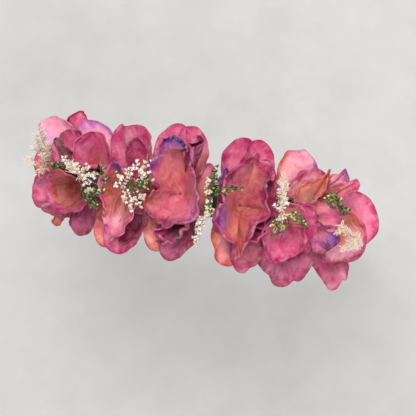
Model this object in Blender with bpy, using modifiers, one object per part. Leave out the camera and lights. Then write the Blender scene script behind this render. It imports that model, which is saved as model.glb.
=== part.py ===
"""Flower crown: a sprung hair band that carries eight fabric blooms and eight filler sprigs.

Metres, +Z up. The origin is the centre of the head that the band clasps. The band arches
over it in the XZ plane, +X towards the wearer's one ear and -X towards the other, and the
blooms stand out of the band's outer face. Places along the band are arc lengths, measured
from its top along the felt's outer face, positive towards +X.
"""

import math

import bmesh
import bpy
from mathutils import Matrix, Vector

MM = 0.001

# Band, from the head outwards
HEAD_RADIUS = 75.0 * MM
LINER_THICKNESS = 1.0 * MM
LINER_WIDTH = 9.0 * MM
RIBBON_THICKNESS = 0.6 * MM
CORE_THICKNESS = 1.2 * MM
CORE_WIDTH = 6.0 * MM
FELT_THICKNESS = 1.2 * MM
FELT_WIDTH = 16.0 * MM
CLEARANCE = 0.3 * MM

# Lengths along the band
FELT_HALF_LENGTH = 88.0 * MM
LINER_HALF_LENGTH = 84.0 * MM
FLEX_MARGIN = 9.0 * MM
FLEX_GAP = 0.5 * MM
ARM_TURN = math.radians(98.0)
ARM_STRAIGHT = 62.0 * MM
ARC_STEP = math.radians(4.0)

# End caps
CAP_WALL = 1.0 * MM
CAP_DEPTH = 8.0 * MM
CAP_BEVEL = 0.9 * MM

# One bloom, from the felt outwards
CALYX_FOOT_RADIUS = 2.2 * MM
CALYX_RIM_RADIUS = 4.4 * MM
CALYX_HEIGHT = 5.0 * MM
PIN_RADIUS = 1.0 * MM
PIN_DEPTH = 3.6 * MM
PIN_HEAD_RADIUS = 2.0 * MM
PIN_HEAD_HEIGHT = 1.5 * MM
PETAL_THICKNESS = 0.5 * MM
LAYER_GAP = 0.4 * MM
OUTER_NECK_RADIUS = 3.8 * MM
INNER_NECK_RADIUS = 2.8 * MM
PETAL_SEGMENTS = 24
TURNED_STEPS = 12

# Sprigs
STALK_RADIUS = 0.6 * MM
STALK_FOOT_GAP = 0.8 * MM

# Each offset is a distance outwards from the head's surface.
RIBBON_IN = LINER_THICKNESS + CLEARANCE
CORE_IN = RIBBON_IN + RIBBON_THICKNESS + CLEARANCE
CORE_OUT = CORE_IN + CORE_THICKNESS
RIBBON_OUT = CORE_OUT + CLEARANCE + RIBBON_THICKNESS
FELT_IN = RIBBON_OUT + CLEARANCE
FELT_OUT = FELT_IN + FELT_THICKNESS
BLOOM_IN = FELT_OUT + CLEARANCE
RIBBON_WIDTH = CORE_WIDTH + 2 * (CLEARANCE + RIBBON_THICKNESS)
BLOOM_RADIUS = HEAD_RADIUS + FELT_OUT
FLEX_ANGLE = (FELT_HALF_LENGTH + FLEX_MARGIN) / BLOOM_RADIUS
FLEX_RADIUS = HEAD_RADIUS + (CORE_IN + CORE_OUT) / 2

# Petal layers reach out from the bloom's axis at every 30 degrees, counted from the band's
# +X direction towards +Y, and stand this high above the felt there, in millimetres.
BLOOMS = {
    "bloom_1": {
        "station": -61.0, "side": 4.0, "lean": 24.0, "tip": -8.0,
        "outer": ((13, 14, 18, 24, 25, 29, 28, 16, 9, 7, 8, 12),
                  (15, 14, 14, 13, 14, 17, 18, 17, 15, 14, 14, 14)),
        "inner": ((11, 13, 14, 15, 15, 16, 13, 9, 6, 6, 6, 9),
                  (25, 26, 26, 26, 25, 25, 25, 25, 25, 25, 25, 25)),
    },
    "bloom_2": {
        "station": -77.0, "side": -4.0, "lean": -22.0, "tip": 5.0,
        "outer": ((15, 10, 7, 7, 11, 17, 18, 19, 21, 24, 26, 22),
                  (15, 16, 16, 16, 16, 15, 14, 14, 13, 13, 13, 13)),
        "inner": ((9, 6, 5, 6, 8, 11, 13, 14, 14, 14, 13, 11),
                  (25, 25, 25, 25, 25, 25, 24, 24, 23, 23, 24, 25)),
    },
    "bloom_3": {
        "station": -42.0, "side": -0.5, "lean": -3.0, "tip": 0.0,
        "outer": ((13, 15, 22, 29, 20, 12, 11, 13, 20, 31, 25, 16),
                  (16, 14, 13, 12, 14, 16, 17, 16, 14, 12, 13, 15)),
        "inner": ((8, 8, 9, 11, 10, 9, 8, 9, 12, 20, 15, 10),
                  (25, 26, 27, 27, 27, 26, 25, 25, 25, 24, 24, 25)),
    },
    "bloom_4": {
        "station": -17.3, "side": 0.0, "lean": 1.0, "tip": 0.0,
        "outer": ((12, 15, 24, 32, 25, 15, 12, 14, 24, 30, 23, 15),
                  (16, 14, 13, 12, 12, 15, 17, 15, 13, 12, 13, 15)),
        "inner": ((9, 11, 17, 22, 16, 11, 9, 10, 12, 18, 14, 10),
                  (26, 26, 26, 26, 26, 26, 26, 25, 24, 23, 24, 25)),
    },
    "bloom_5": {
        "station": 8.9, "side": 0.0, "lean": 0.0, "tip": 0.0,
        "outer": ((11, 14, 23, 31, 23, 14, 12, 14, 19, 28, 24, 14),
                  (17, 15, 13, 12, 13, 15, 17, 15, 13, 12, 13, 15)),
        "inner": ((8, 11, 17, 23, 14, 10, 8, 9, 13, 20, 13, 9),
                  (26, 26, 26, 25, 26, 26, 26, 25, 24, 23, 24, 26)),
    },
    "bloom_6": {
        "station": 30.0, "side": -4.0, "lean": -14.0, "tip": 2.0,
        "outer": ((15, 11, 8, 7, 8, 9, 10, 12, 18, 26, 26, 20),
                  (15, 15, 16, 16, 16, 16, 15, 14, 12, 12, 12, 14)),
        "inner": ((9, 7, 5, 5, 6, 7, 7, 8, 12, 16, 15, 12),
                  (24, 24, 24, 24, 24, 24, 24, 24, 22, 21, 22, 23)),
    },
    "bloom_7": {
        "station": 42.0, "side": 4.5, "lean": 24.0, "tip": -2.0,
        "outer": ((8, 13, 18, 22, 27, 26, 18, 9, 6, 6, 6, 6),
                  (15, 15, 14, 13, 12, 12, 13, 15, 16, 16, 16, 16)),
        "inner": ((7, 10, 12, 15, 16, 14, 9, 5, 4, 4, 4, 5),
                  (24, 24, 24, 24, 23, 23, 24, 24, 24, 24, 24, 24)),
    },
    "bloom_8": {
        "station": 60.0, "side": -1.0, "lean": -4.0, "tip": 3.0,
        "outer": ((21, 20, 19, 15, 9, 7, 7, 10, 20, 30, 28, 24),
                  (14, 14, 14, 15, 17, 18, 18, 17, 14, 12, 12, 13)),
        "inner": ((13, 12, 10, 9, 7, 6, 6, 8, 12, 15, 15, 14),
                  (24, 24, 24, 24, 25, 25, 25, 24, 23, 22, 22, 23)),
    },
}

# A sprig's line, in millimetres along the band, across it and above the felt, and how thick
# it is there as a multiple of its stalk.
SPRIGS = {
    "plume_1": ((-70.0, 0.7, 0.0, 1.0), (-72.5, 0.8, 12.0, 1.0), (-81.0, 1.2, 20.0, 2.5),
                (-87.0, 3.0, 25.0, 1.5)),
    "plume_2": ((-53.0, -3.5, 0.0, 1.0), (-53.0, -3.0, 15.0, 1.0), (-53.5, 0.0, 26.0, 2.5),
                (-57.0, 0.5, 31.0, 3.0), (-61.0, 1.0, 32.0, 1.5)),
    "statice_1": ((-57.0, -6.5, 0.0, 1.0), (-54.0, -8.0, 14.0, 1.0), (-53.0, -10.5, 21.0, 3.0),
                  (-53.0, -13.0, 24.0, 2.0)),
    "statice_2": ((-29.6, 1.0, 0.0, 1.0), (-29.6, 1.0, 17.0, 1.0), (-30.5, 0.0, 22.0, 3.0),
                  (-31.5, -1.0, 29.0, 4.0), (-32.0, -2.0, 33.0, 2.0)),
    "statice_3": ((-4.3, 3.0, 0.0, 1.0), (-4.3, 3.0, 17.0, 1.0), (-4.0, 3.0, 22.0, 3.0),
                  (-3.5, 1.5, 28.0, 3.5), (-4.0, -2.0, 29.0, 2.0)),
    "statice_4": ((20.7, 1.5, 0.0, 1.0), (20.4, 1.5, 17.0, 1.0), (21.5, 1.0, 23.0, 2.5),
                  (22.5, 0.0, 29.0, 3.0), (23.5, 2.0, 32.0, 2.0)),
    "bud_sprig": ((50.5, 4.0, 0.0, 1.0), (50.5, 4.0, 12.0, 1.0), (49.5, 5.0, 22.0, 2.5),
                  (48.5, 8.0, 27.0, 1.5)),
    "plume_3": ((48.5, -3.0, 0.0, 1.0), (48.5, -3.5, 16.0, 1.0), (49.5, -3.0, 25.0, 2.0),
                (52.0, -4.0, 30.0, 2.5), (55.0, -7.0, 31.0, 1.5)),
}

COLOURS = {
    "spring_steel": ((0.55, 0.55, 0.57), 0.35, 1.0),
    "ribbon": ((0.80, 0.74, 0.66), 0.45, 0.0),
    "felt": ((0.78, 0.72, 0.63), 0.95, 0.0),
    "base_felt": ((0.13, 0.17, 0.07), 0.95, 0.0),
    "cap_brass": ((0.78, 0.62, 0.36), 0.3, 1.0),
    "calyx": ((0.24, 0.32, 0.12), 0.6, 0.0),
    "outer_petal": ((0.66, 0.24, 0.38), 0.6, 0.0),
    "inner_petal": ((0.70, 0.36, 0.36), 0.6, 0.0),
    "pin": ((0.55, 0.24, 0.20), 0.5, 0.0),
    "plume": ((0.90, 0.85, 0.72), 0.9, 0.0),
    "statice": ((0.85, 0.85, 0.74), 0.8, 0.0),
    "bud": ((0.30, 0.38, 0.12), 0.7, 0.0),
}


def clear_scene():
    for obj in list(bpy.data.objects):
        bpy.data.objects.remove(obj, do_unlink=True)


def new_collection(name, shown):
    made = bpy.data.collections.new(name)
    made.hide_render = not shown
    bpy.context.scene.collection.children.link(made)
    return made


def material(name):
    found = bpy.data.materials.get(name)
    if found:
        return found
    colour, roughness, metallic = COLOURS[name]
    made = bpy.data.materials.new(name)
    made.use_nodes = True
    shader = made.node_tree.nodes["Principled BSDF"]
    shader.inputs["Base Color"].default_value = (*colour, 1.0)
    shader.inputs["Roughness"].default_value = roughness
    shader.inputs["Metallic"].default_value = metallic
    made.diffuse_color = (*colour, 1.0)
    return made


def add_object(name, data, finish, parent=None):
    """Links a new object in its parent's place, or at the origin."""
    obj = bpy.data.objects.new(name, data)
    obj.data.materials.append(material(finish))
    crown.objects.link(obj)
    obj.parent = parent
    return obj


def add_empty(name, matrix):
    empty = bpy.data.objects.new(name, None)
    empty.empty_display_size = 5 * MM
    crown.objects.link(empty)
    empty.matrix_world = matrix
    return empty


def keep_place(obj, parent):
    """Parents obj to an empty and leaves it where it is."""
    obj.parent = parent
    obj.matrix_parent_inverse = parent.matrix_world.inverted()


def arc_points(start, end, offset):
    """Points in the band's plane at this distance from the head, from one angle to another.
    There is an odd number of equal steps, so that a symmetric strip has a facet at its top."""
    steps = max(1, math.ceil((end - start) / ARC_STEP))
    steps += 1 - steps % 2
    radius = HEAD_RADIUS + offset
    angles = [start + (end - start) * i / steps for i in range(steps + 1)]
    return [Vector((radius * math.sin(a), radius * math.cos(a))) for a in angles]


def arm_points(offset, end):
    """The line of the +X arm: the arc past the flex, then straight and leaning inwards."""
    start = FLEX_ANGLE + FLEX_GAP / FLEX_RADIUS
    points = arc_points(start, ARM_TURN, offset)
    along = Vector((math.cos(ARM_TURN), -math.sin(ARM_TURN)))
    return points + [points[-1] + along * end]


def strip(name, inner, outer, width, finish, hand=1):
    """A flat outline in the band's plane, between an inner and an outer line, this wide.
    hand is -1 for the strip's mirror image on the -X side."""
    outline = bpy.data.curves.new(name, "CURVE")
    outline.dimensions = "2D"
    outline.fill_mode = "BOTH"
    outline.extrude = width / 2
    spline = outline.splines.new("POLY")
    ring = inner + outer[::-1]
    spline.points.add(len(ring) - 1)
    for point, place in zip(spline.points, ring):
        point.co = (hand * place.x, place.y, 0.0, 1.0)
    spline.use_cyclic_u = True
    obj = add_object(name, outline, finish)
    obj.rotation_euler = (math.pi / 2, 0.0, 0.0)
    return obj


def crown_strip(name, offset, thickness, width, half_angle, finish):
    return strip(name, arc_points(-half_angle, half_angle, offset),
                 arc_points(-half_angle, half_angle, offset + thickness), width, finish)


def arm_strip(name, offset, thickness, width, end, finish, hand):
    return strip(name, arm_points(offset, end), arm_points(offset + thickness, end),
                 width, finish, hand)


def as_mesh(obj):
    """Turns a curve object into a mesh object with its caps welded on."""
    bpy.context.view_layer.update()
    graph = bpy.context.evaluated_depsgraph_get()
    mesh = bpy.data.meshes.new_from_object(obj.evaluated_get(graph))
    shell = bmesh.new()
    shell.from_mesh(mesh)
    bmesh.ops.remove_doubles(shell, verts=shell.verts, dist=0.001 * MM)
    bmesh.ops.recalc_face_normals(shell, faces=shell.faces)
    shell.to_mesh(mesh)
    shell.free()
    made = bpy.data.objects.new("mesh", mesh)
    for home in obj.users_collection:
        home.objects.link(made)
    made.matrix_world = obj.matrix_world
    name = obj.name
    bpy.data.objects.remove(obj)
    made.name = name
    return made


def cut(obj, cutter):
    """Cuts cutter out of obj and puts the cutter with the hidden helpers."""
    for home in cutter.users_collection:
        home.objects.unlink(cutter)
    cutters.objects.link(cutter)
    cutter.hide_render = True
    cutter.display_type = "WIRE"
    boolean = obj.modifiers.new("cut", "BOOLEAN")
    boolean.operation = "DIFFERENCE"
    boolean.solver = "EXACT"
    boolean.object = cutter


def band():
    """The strips under the blooms, from the head outwards."""
    bore = RIBBON_IN + RIBBON_THICKNESS
    bore_thickness = CORE_THICKNESS + 2 * CLEARANCE
    bore_width = CORE_WIDTH + 2 * CLEARANCE
    past_end = FLEX_ANGLE + FLEX_MARGIN / BLOOM_RADIUS
    crown_strip("liner", 0.0, LINER_THICKNESS, LINER_WIDTH,
                LINER_HALF_LENGTH / BLOOM_RADIUS, "felt")
    crown_strip("band_core", CORE_IN, CORE_THICKNESS, CORE_WIDTH, FLEX_ANGLE, "spring_steel")
    wrap = as_mesh(crown_strip("ribbon_wrap", RIBBON_IN, RIBBON_OUT - RIBBON_IN,
                               RIBBON_WIDTH, FLEX_ANGLE, "ribbon"))
    cut(wrap, as_mesh(crown_strip("ribbon_wrap_bore", bore, bore_thickness, bore_width,
                                  past_end, "ribbon")))
    crown_strip("felt_base", FELT_IN, FELT_THICKNESS, FELT_WIDTH,
                FELT_HALF_LENGTH / BLOOM_RADIUS, "base_felt")


def arm(side, hand):
    """The bare arm on one side, with its core, its wrap and the cap on its tip."""
    bore = RIBBON_IN + RIBBON_THICKNESS
    bore_thickness = CORE_THICKNESS + 2 * CLEARANCE
    bore_width = CORE_WIDTH + 2 * CLEARANCE
    hinge = add_empty("flex_" + side, Matrix.Translation((
        hand * FLEX_RADIUS * math.sin(FLEX_ANGLE), 0.0, FLEX_RADIUS * math.cos(FLEX_ANGLE))))
    core = arm_strip("band_core_" + side, CORE_IN, CORE_THICKNESS, CORE_WIDTH,
                     ARM_STRAIGHT, "spring_steel", hand)
    wrap = as_mesh(arm_strip("ribbon_wrap_" + side, RIBBON_IN, RIBBON_OUT - RIBBON_IN,
                             RIBBON_WIDTH, ARM_STRAIGHT, "ribbon", hand))
    bore_line = arm_points(bore, ARM_STRAIGHT + CAP_DEPTH)
    roof_line = arm_points(bore + bore_thickness, ARM_STRAIGHT + CAP_DEPTH)
    for line in (bore_line, roof_line):
        line[0] -= (line[1] - line[0]).normalized() * FLEX_MARGIN
    cut(wrap, as_mesh(strip("ribbon_bore_" + side, bore_line, roof_line, bore_width,
                            "ribbon", hand)))
    cap = tip_cap(side, hand)
    for piece in (core, wrap, cap):
        keep_place(piece, hinge)


def tip_cap(side, hand):
    """A bevelled box over the arm's end, with a socket for the wrapped strip."""
    middle = (RIBBON_IN + RIBBON_OUT) / 2
    line = arm_points(middle, ARM_STRAIGHT)
    along = (line[-1] - line[-2]).normalized()
    floor = line[-1] + along * CLEARANCE
    thickness = RIBBON_OUT - RIBBON_IN + 2 * CLEARANCE
    width = RIBBON_WIDTH + 2 * CLEARANCE
    turn = Matrix.Rotation(-hand * (ARM_TURN - math.pi / 2), 4, "Y")

    def block(name, across, length, wide, centre):
        place = floor + along * centre
        shell = bmesh.new()
        bmesh.ops.create_cube(shell, size=1.0)
        bmesh.ops.scale(shell, verts=shell.verts, vec=(across, wide, length))
        mesh = bpy.data.meshes.new(name)
        shell.to_mesh(mesh)
        shell.free()
        made = add_object(name, mesh, "cap_brass")
        made.matrix_world = Matrix.Translation((hand * place.x, 0.0, place.y)) @ turn.inverted()
        return made

    length = CAP_DEPTH + CAP_WALL
    cap = block("tip_cap_" + side, thickness + 2 * CAP_WALL, length, width + 2 * CAP_WALL,
                CAP_WALL - length / 2)
    bevel = cap.modifiers.new("round", "BEVEL")
    bevel.width = CAP_BEVEL
    bevel.segments = 2
    socket = 2 * CAP_DEPTH
    cut(cap, block("cap_socket_" + side, thickness, socket, width, -socket / 2))
    return cap


def bloom_matrix(bloom):
    """Where a bloom's foot stands on the felt and which way it faces. A leaning foot is
    lifted until its edge clears the felt."""
    angle = bloom["station"] * MM / BLOOM_RADIUS
    lean = math.radians(bloom["lean"])
    tip = math.radians(bloom["tip"])
    lift = CALYX_FOOT_RADIUS * math.sin(math.acos(math.cos(lean) * math.cos(tip)))
    out = Vector((math.sin(angle), 0.0, math.cos(angle)))
    foot = out * (HEAD_RADIUS + BLOOM_IN + lift) + Vector((0.0, bloom["side"] * MM, 0.0))
    return (Matrix.Translation(foot) @ Matrix.Rotation(angle, 4, "Y")
            @ Matrix.Rotation(-lean, 4, "X") @ Matrix.Rotation(tip, 4, "Y"))


def turned(name, profile, finish, parent):
    """Spins (radius, height) points, listed from the top down the outer side, about the axis."""
    mesh = bpy.data.meshes.new(name)
    edges = [(i, i + 1) for i in range(len(profile) - 1)]
    mesh.from_pydata([(radius, 0.0, height) for radius, height in profile], edges, [])
    obj = add_object(name, mesh, finish, parent)
    spin = obj.modifiers.new("turn", "SCREW")
    spin.axis = "Z"
    spin.steps = spin.render_steps = TURNED_STEPS
    spin.use_merge_vertices = True
    spin.merge_threshold = 0.01 * MM
    spin.use_smooth_shade = True
    return obj


def calyx(name, parent):
    """The green cup that holds the layers, with a blind hole for the pin."""
    hole = PIN_RADIUS + CLEARANCE
    depth = PIN_DEPTH + CLEARANCE
    waist = (CALYX_FOOT_RADIUS + CALYX_RIM_RADIUS) / 2
    return turned(name, [
        (0.0, CALYX_HEIGHT - depth), (hole, CALYX_HEIGHT - depth), (hole, CALYX_HEIGHT),
        (CALYX_RIM_RADIUS, CALYX_HEIGHT), (waist, CALYX_HEIGHT * 0.4),
        (CALYX_FOOT_RADIUS, 0.0), (0.0, 0.0)], "calyx", parent)


def pin(name, parent):
    """The headed pin that clips the petal layers to the calyx."""
    head = layer_height(2) - PETAL_THICKNESS / 2
    top = head + PIN_HEAD_HEIGHT
    return turned(name, [
        (0.0, top), (PIN_HEAD_RADIUS * 0.6, top - PIN_HEAD_HEIGHT * 0.15),
        (PIN_HEAD_RADIUS, head + PIN_HEAD_HEIGHT * 0.3), (PIN_HEAD_RADIUS, head),
        (PIN_RADIUS, head), (PIN_RADIUS, CALYX_HEIGHT - PIN_DEPTH),
        (0.0, CALYX_HEIGHT - PIN_DEPTH)], "pin", parent)


def layer_height(number):
    """The middle of a petal layer at the calyx, layer 0 being the lowest."""
    return (CALYX_HEIGHT + CLEARANCE + PETAL_THICKNESS / 2
            + number * (PETAL_THICKNESS + LAYER_GAP))


def round_the_rim(values, turn):
    """A smooth closed curve through values at even steps of a full turn, at turn from 0 to 1."""
    place = turn * len(values)
    before = int(place)
    part = place - before
    a, b, c, d = (values[(before + i) % len(values)] for i in (-1, 0, 1, 2))
    return b + 0.5 * part * (c - a + part * (2 * a - 5 * b + 4 * c - d
                                             + part * (3 * (b - c) + d - a)))


def petal_layer(name, rim, number, neck, rise, finish, parent):
    """One die-cut layer: flat out to its neck, then climbing to the rim. A larger rise makes
    it climb early and end flatter."""
    reach, height = rim
    hole = PIN_RADIUS + 2 * CLEARANCE
    start = layer_height(number)
    shares = (0.35, 0.7, 1.0)
    sheet = bmesh.new()
    rings = []
    for radius in (hole, neck):
        rings.append([(radius, start)] * PETAL_SEGMENTS)
    for share in shares:
        ring = []
        for i in range(PETAL_SEGMENTS):
            far = round_the_rim(reach, i / PETAL_SEGMENTS) * MM
            high = round_the_rim(height, i / PETAL_SEGMENTS) * MM
            ring.append((neck + (far - neck) * share,
                         start + (high - start) * (1 - (1 - share) ** rise)))
        rings.append(ring)
    points = []
    for ring in rings:
        row = []
        for i, (radius, up) in enumerate(ring):
            around = 2 * math.pi * i / PETAL_SEGMENTS
            row.append(sheet.verts.new((radius * math.cos(around), radius * math.sin(around), up)))
        points.append(row)
    for low, high in zip(points, points[1:]):
        for i in range(PETAL_SEGMENTS):
            j = (i + 1) % PETAL_SEGMENTS
            sheet.faces.new((low[i], high[i], high[j], low[j]))
    mesh = bpy.data.meshes.new(name)
    sheet.to_mesh(mesh)
    sheet.free()
    mesh.shade_smooth()
    obj = add_object(name, mesh, finish, parent)
    wall = obj.modifiers.new("cloth", "SOLIDIFY")
    wall.thickness = PETAL_THICKNESS
    wall.offset = 0.0
    wall.use_even_offset = True
    return obj


def blooms():
    for name, bloom in BLOOMS.items():
        stand = add_empty(name + "_stand", bloom_matrix(bloom))
        calyx(name + "_calyx", stand)
        petal_layer(name + "_outer_petals", bloom["outer"], 0, OUTER_NECK_RADIUS, 1.2,
                    "outer_petal", stand)
        petal_layer(name + "_inner_petals", bloom["inner"], 1, INNER_NECK_RADIUS, 1.8,
                    "inner_petal", stand)
        pin(name + "_pin", stand)


def sprigs():
    for name, stations in SPRIGS.items():
        line = bpy.data.curves.new(name, "CURVE")
        line.dimensions = "3D"
        line.bevel_depth = STALK_RADIUS
        line.bevel_resolution = 1
        line.use_fill_caps = True
        spline = line.splines.new("POLY")
        spline.points.add(len(stations) - 1)
        for point, (along, side, height, girth) in zip(spline.points, stations):
            angle = along * MM / BLOOM_RADIUS
            radius = BLOOM_RADIUS + STALK_FOOT_GAP + height * MM
            point.co = (radius * math.sin(angle), side * MM, radius * math.cos(angle), 1.0)
            point.radius = girth
        add_object(name, line, name.split("_")[0])


clear_scene()
crown = new_collection("flower_crown", True)
cutters = new_collection("cutters", False)
band()
arm("right", 1)
arm("left", -1)
blooms()
sprigs()
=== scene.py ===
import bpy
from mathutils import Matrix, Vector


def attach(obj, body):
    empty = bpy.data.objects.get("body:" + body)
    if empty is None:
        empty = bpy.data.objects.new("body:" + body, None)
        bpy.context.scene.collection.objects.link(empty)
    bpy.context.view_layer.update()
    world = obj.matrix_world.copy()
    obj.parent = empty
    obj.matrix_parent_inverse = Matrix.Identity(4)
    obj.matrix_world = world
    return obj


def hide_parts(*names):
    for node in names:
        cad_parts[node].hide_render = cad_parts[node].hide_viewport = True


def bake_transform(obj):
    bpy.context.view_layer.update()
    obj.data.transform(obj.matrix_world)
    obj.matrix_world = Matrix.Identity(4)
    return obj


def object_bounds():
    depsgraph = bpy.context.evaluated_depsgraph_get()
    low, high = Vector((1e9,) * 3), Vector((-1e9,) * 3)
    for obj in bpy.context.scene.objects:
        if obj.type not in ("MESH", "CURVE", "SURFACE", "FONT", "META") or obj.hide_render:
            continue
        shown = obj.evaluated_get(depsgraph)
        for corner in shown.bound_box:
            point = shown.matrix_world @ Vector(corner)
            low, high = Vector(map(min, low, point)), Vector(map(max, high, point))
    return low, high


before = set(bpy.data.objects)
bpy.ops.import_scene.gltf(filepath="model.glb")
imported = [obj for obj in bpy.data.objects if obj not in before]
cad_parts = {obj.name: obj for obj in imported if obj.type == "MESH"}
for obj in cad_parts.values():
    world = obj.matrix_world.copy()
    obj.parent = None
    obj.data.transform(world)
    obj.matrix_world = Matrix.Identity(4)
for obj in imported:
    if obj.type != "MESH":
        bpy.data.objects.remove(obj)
cad_box = [list(corner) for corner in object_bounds()]

import math

import bmesh
import bpy
import numpy as np
from mathutils import Vector

MM = 0.001

# the petals' outlines are written on a plan: X and Y in millimetres as they show from the eye
# that looks straight down on the crown, each with a height

# ---------------------------------------------------------------- camera

EYE_HEIGHT = 600.0      # mm above the centre of the head
SIGHT = 528.5           # mm from the eye at which the plan is drawn at its true size
CROWN_TURN = math.radians(10.9)
LENS = 93.8             # mm, on a 36 mm sensor
FRAME_SHIFT = (-0.0276, -0.0144)

camera = bpy.data.objects.new("overhead_camera", bpy.data.cameras.new("overhead_camera"))
bpy.context.scene.collection.objects.link(camera)
bpy.context.scene.camera = camera
camera.data.lens = LENS
camera.data.sensor_width = 36.0
camera.data.shift_x, camera.data.shift_y = FRAME_SHIFT
camera.data.clip_end = 20.0
camera.location = (0.0, 0.0, EYE_HEIGHT * MM)
camera.rotation_euler = (0.0, 0.0, CROWN_TURN)
bpy.context.scene.view_settings.view_transform = "Standard"

DYES = {  # as seen, 0 to 1
    "magenta": (0.82, 0.17, 0.46),
    "deep_magenta": (0.70, 0.09, 0.36),
    "crimson": (0.60, 0.06, 0.27),
    "wine": (0.40, 0.03, 0.18),
    "rose": (0.87, 0.32, 0.53),
    "dusty_pink": (0.92, 0.45, 0.61),
    "pale_pink": (0.97, 0.68, 0.75),
    "peach": (0.95, 0.61, 0.52),
    "orange": (0.91, 0.45, 0.25),
    "ochre": (0.87, 0.48, 0.27),
    "rust": (0.71, 0.29, 0.19),
    "salmon": (0.83, 0.35, 0.40),
    "rosewood": (0.72, 0.24, 0.32),
    "mauve": (0.75, 0.28, 0.50),
    "lilac": (0.86, 0.60, 0.91),
    "violet": (0.47, 0.16, 0.60),
    "indigo": (0.28, 0.08, 0.45),
    "cream": (0.97, 0.91, 0.83),
}


def linear(colour):
    return tuple(c / 12.92 if c <= 0.04045 else ((c + 0.055) / 1.055) ** 2.4 for c in colour)


INKS = {name: np.array(linear(colour)) for name, colour in DYES.items()}


def smoothstep(low, high, value):
    t = np.clip((value - low) / (high - low), 0.0, 1.0)
    return t * t * (3.0 - 2.0 * t)


# ---------------------------------------------------------------- shader helpers

class Graph:
    """A short way to write a node tree: every call makes a node and wires its inputs."""

    def __init__(self, tree):
        self.tree = tree

    def put(self, kind, inputs=(), **settings):
        node = self.tree.nodes.new(kind)
        for name, value in settings.items():
            setattr(node, name, value)
        for key, value in dict(inputs).items():
            socket = node.inputs[key]
            if isinstance(value, bpy.types.NodeSocket):
                self.tree.links.new(value, socket)
            else:
                socket.default_value = value
        return node

    def math(self, operation, a, b=0.0, clamp=False):
        return self.put("ShaderNodeMath", {0: a, 1: b}, operation=operation,
                        use_clamp=clamp).outputs[0]

    def mix(self, factor, a, b, blend="MIX"):
        return self.put("ShaderNodeMix", {0: factor, 6: a, 7: b}, data_type="RGBA",
                        blend_type=blend).outputs[2]

    def ramp(self, value, low, high, out_low=0.0, out_high=1.0):
        return self.put("ShaderNodeMapRange", {0: value, 1: low, 2: high, 3: out_low,
                                               4: out_high}, clamp=True).outputs[0]

    def noise(self, vector, scale, detail=3.0, rough=0.5, distort=0.0):
        return self.put("ShaderNodeTexNoise", {"Vector": vector, "Scale": scale,
                        "Detail": detail, "Roughness": rough,
                        "Distortion": distort}).outputs[0]

    def stretch(self, vector, scale):
        return self.put("ShaderNodeMapping", {"Vector": vector, "Scale": scale}).outputs[0]


def new_group(name, inputs, outputs):
    group = bpy.data.node_groups.new(name, "ShaderNodeTree")
    for label, kind, default in inputs:
        socket = group.interface.new_socket(label, in_out="INPUT", socket_type=kind)
        if default is not None:
            socket.default_value = default
    for label, kind in outputs:
        group.interface.new_socket(label, in_out="OUTPUT", socket_type=kind)
    graph = Graph(group)
    return group, graph, group.nodes.new("NodeGroupInput"), group.nodes.new("NodeGroupOutput")


def petal_veins():
    """Veins that run from a petal's foot to its rim, blotches of dye and small crinkles. Its
    vector counts millimetres, across the petal in X and along it in Y."""
    group, g, given, out = new_group(
        "petal_veins",
        [("Vector", "NodeSocketVector", None), ("Place", "NodeSocketVector", None),
         ("Vein Spacing", "NodeSocketFloat", 1.0), ("Blotch Size", "NodeSocketFloat", 4.0)],
        [("Veins", "NodeSocketFloat"), ("Blotches", "NodeSocketFloat"),
         ("Speckle", "NodeSocketFloat"), ("Height", "NodeSocketFloat")])
    vector, place = given.outputs["Vector"], given.outputs["Place"]
    sway = g.noise(g.stretch(vector, (0.12, 0.10, 1.0)), 1.0, 2.0)
    drift = g.put("ShaderNodeCombineXYZ", {0: g.math("MULTIPLY", sway, 4.0)}).outputs[0]
    bent = g.put("ShaderNodeVectorMath", {0: vector, 1: drift}, operation="ADD").outputs[0]
    wide = g.put("ShaderNodeVectorMath", {0: bent, 3: g.math(
        "DIVIDE", 1.0, given.outputs["Vein Spacing"])}, operation="SCALE").outputs[0]
    coarse = g.noise(g.stretch(wide, (0.9, 0.07, 1.0)), 1.0, 2.0, 0.6)
    fine = g.noise(g.stretch(wide, (2.6, 0.16, 1.0)), 1.0, 3.0, 0.6)
    ridge = g.math("SUBTRACT", 1.0, g.math("MULTIPLY", g.math(
        "ABSOLUTE", g.math("SUBTRACT", coarse, 0.5)), 9.0), clamp=True)
    thin = g.math("SUBTRACT", 1.0, g.math("MULTIPLY", g.math(
        "ABSOLUTE", g.math("SUBTRACT", fine, 0.5)), 7.0), clamp=True)
    veins = g.math("MAXIMUM", g.math("MULTIPLY", ridge, 0.8), g.math("MULTIPLY", thin, 0.55))
    size = g.math("DIVIDE", 1000.0, given.outputs["Blotch Size"])
    blot = g.put("ShaderNodeTexNoise", {"Vector": place, "Scale": size, "Detail": 5.0,
                                        "Roughness": 0.62, "Distortion": 0.6}).outputs[0]
    speckle = g.noise(place, 1900.0, 3.0, 0.7)
    crinkle = g.noise(g.stretch(vector, (1.1, 0.5, 1.0)), 1.0, 4.0, 0.6)
    height = g.math("ADD", g.math("MULTIPLY", veins, -0.35), g.math(
        "ADD", g.math("MULTIPLY", crinkle, 0.9), g.math("MULTIPLY", speckle, 0.12)))
    links = group.links
    links.new(veins, out.inputs["Veins"])
    links.new(g.ramp(blot, 0.36, 0.66), out.inputs["Blotches"])
    links.new(g.ramp(speckle, 0.35, 0.7), out.inputs["Speckle"])
    links.new(height, out.inputs["Height"])
    return group


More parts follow.
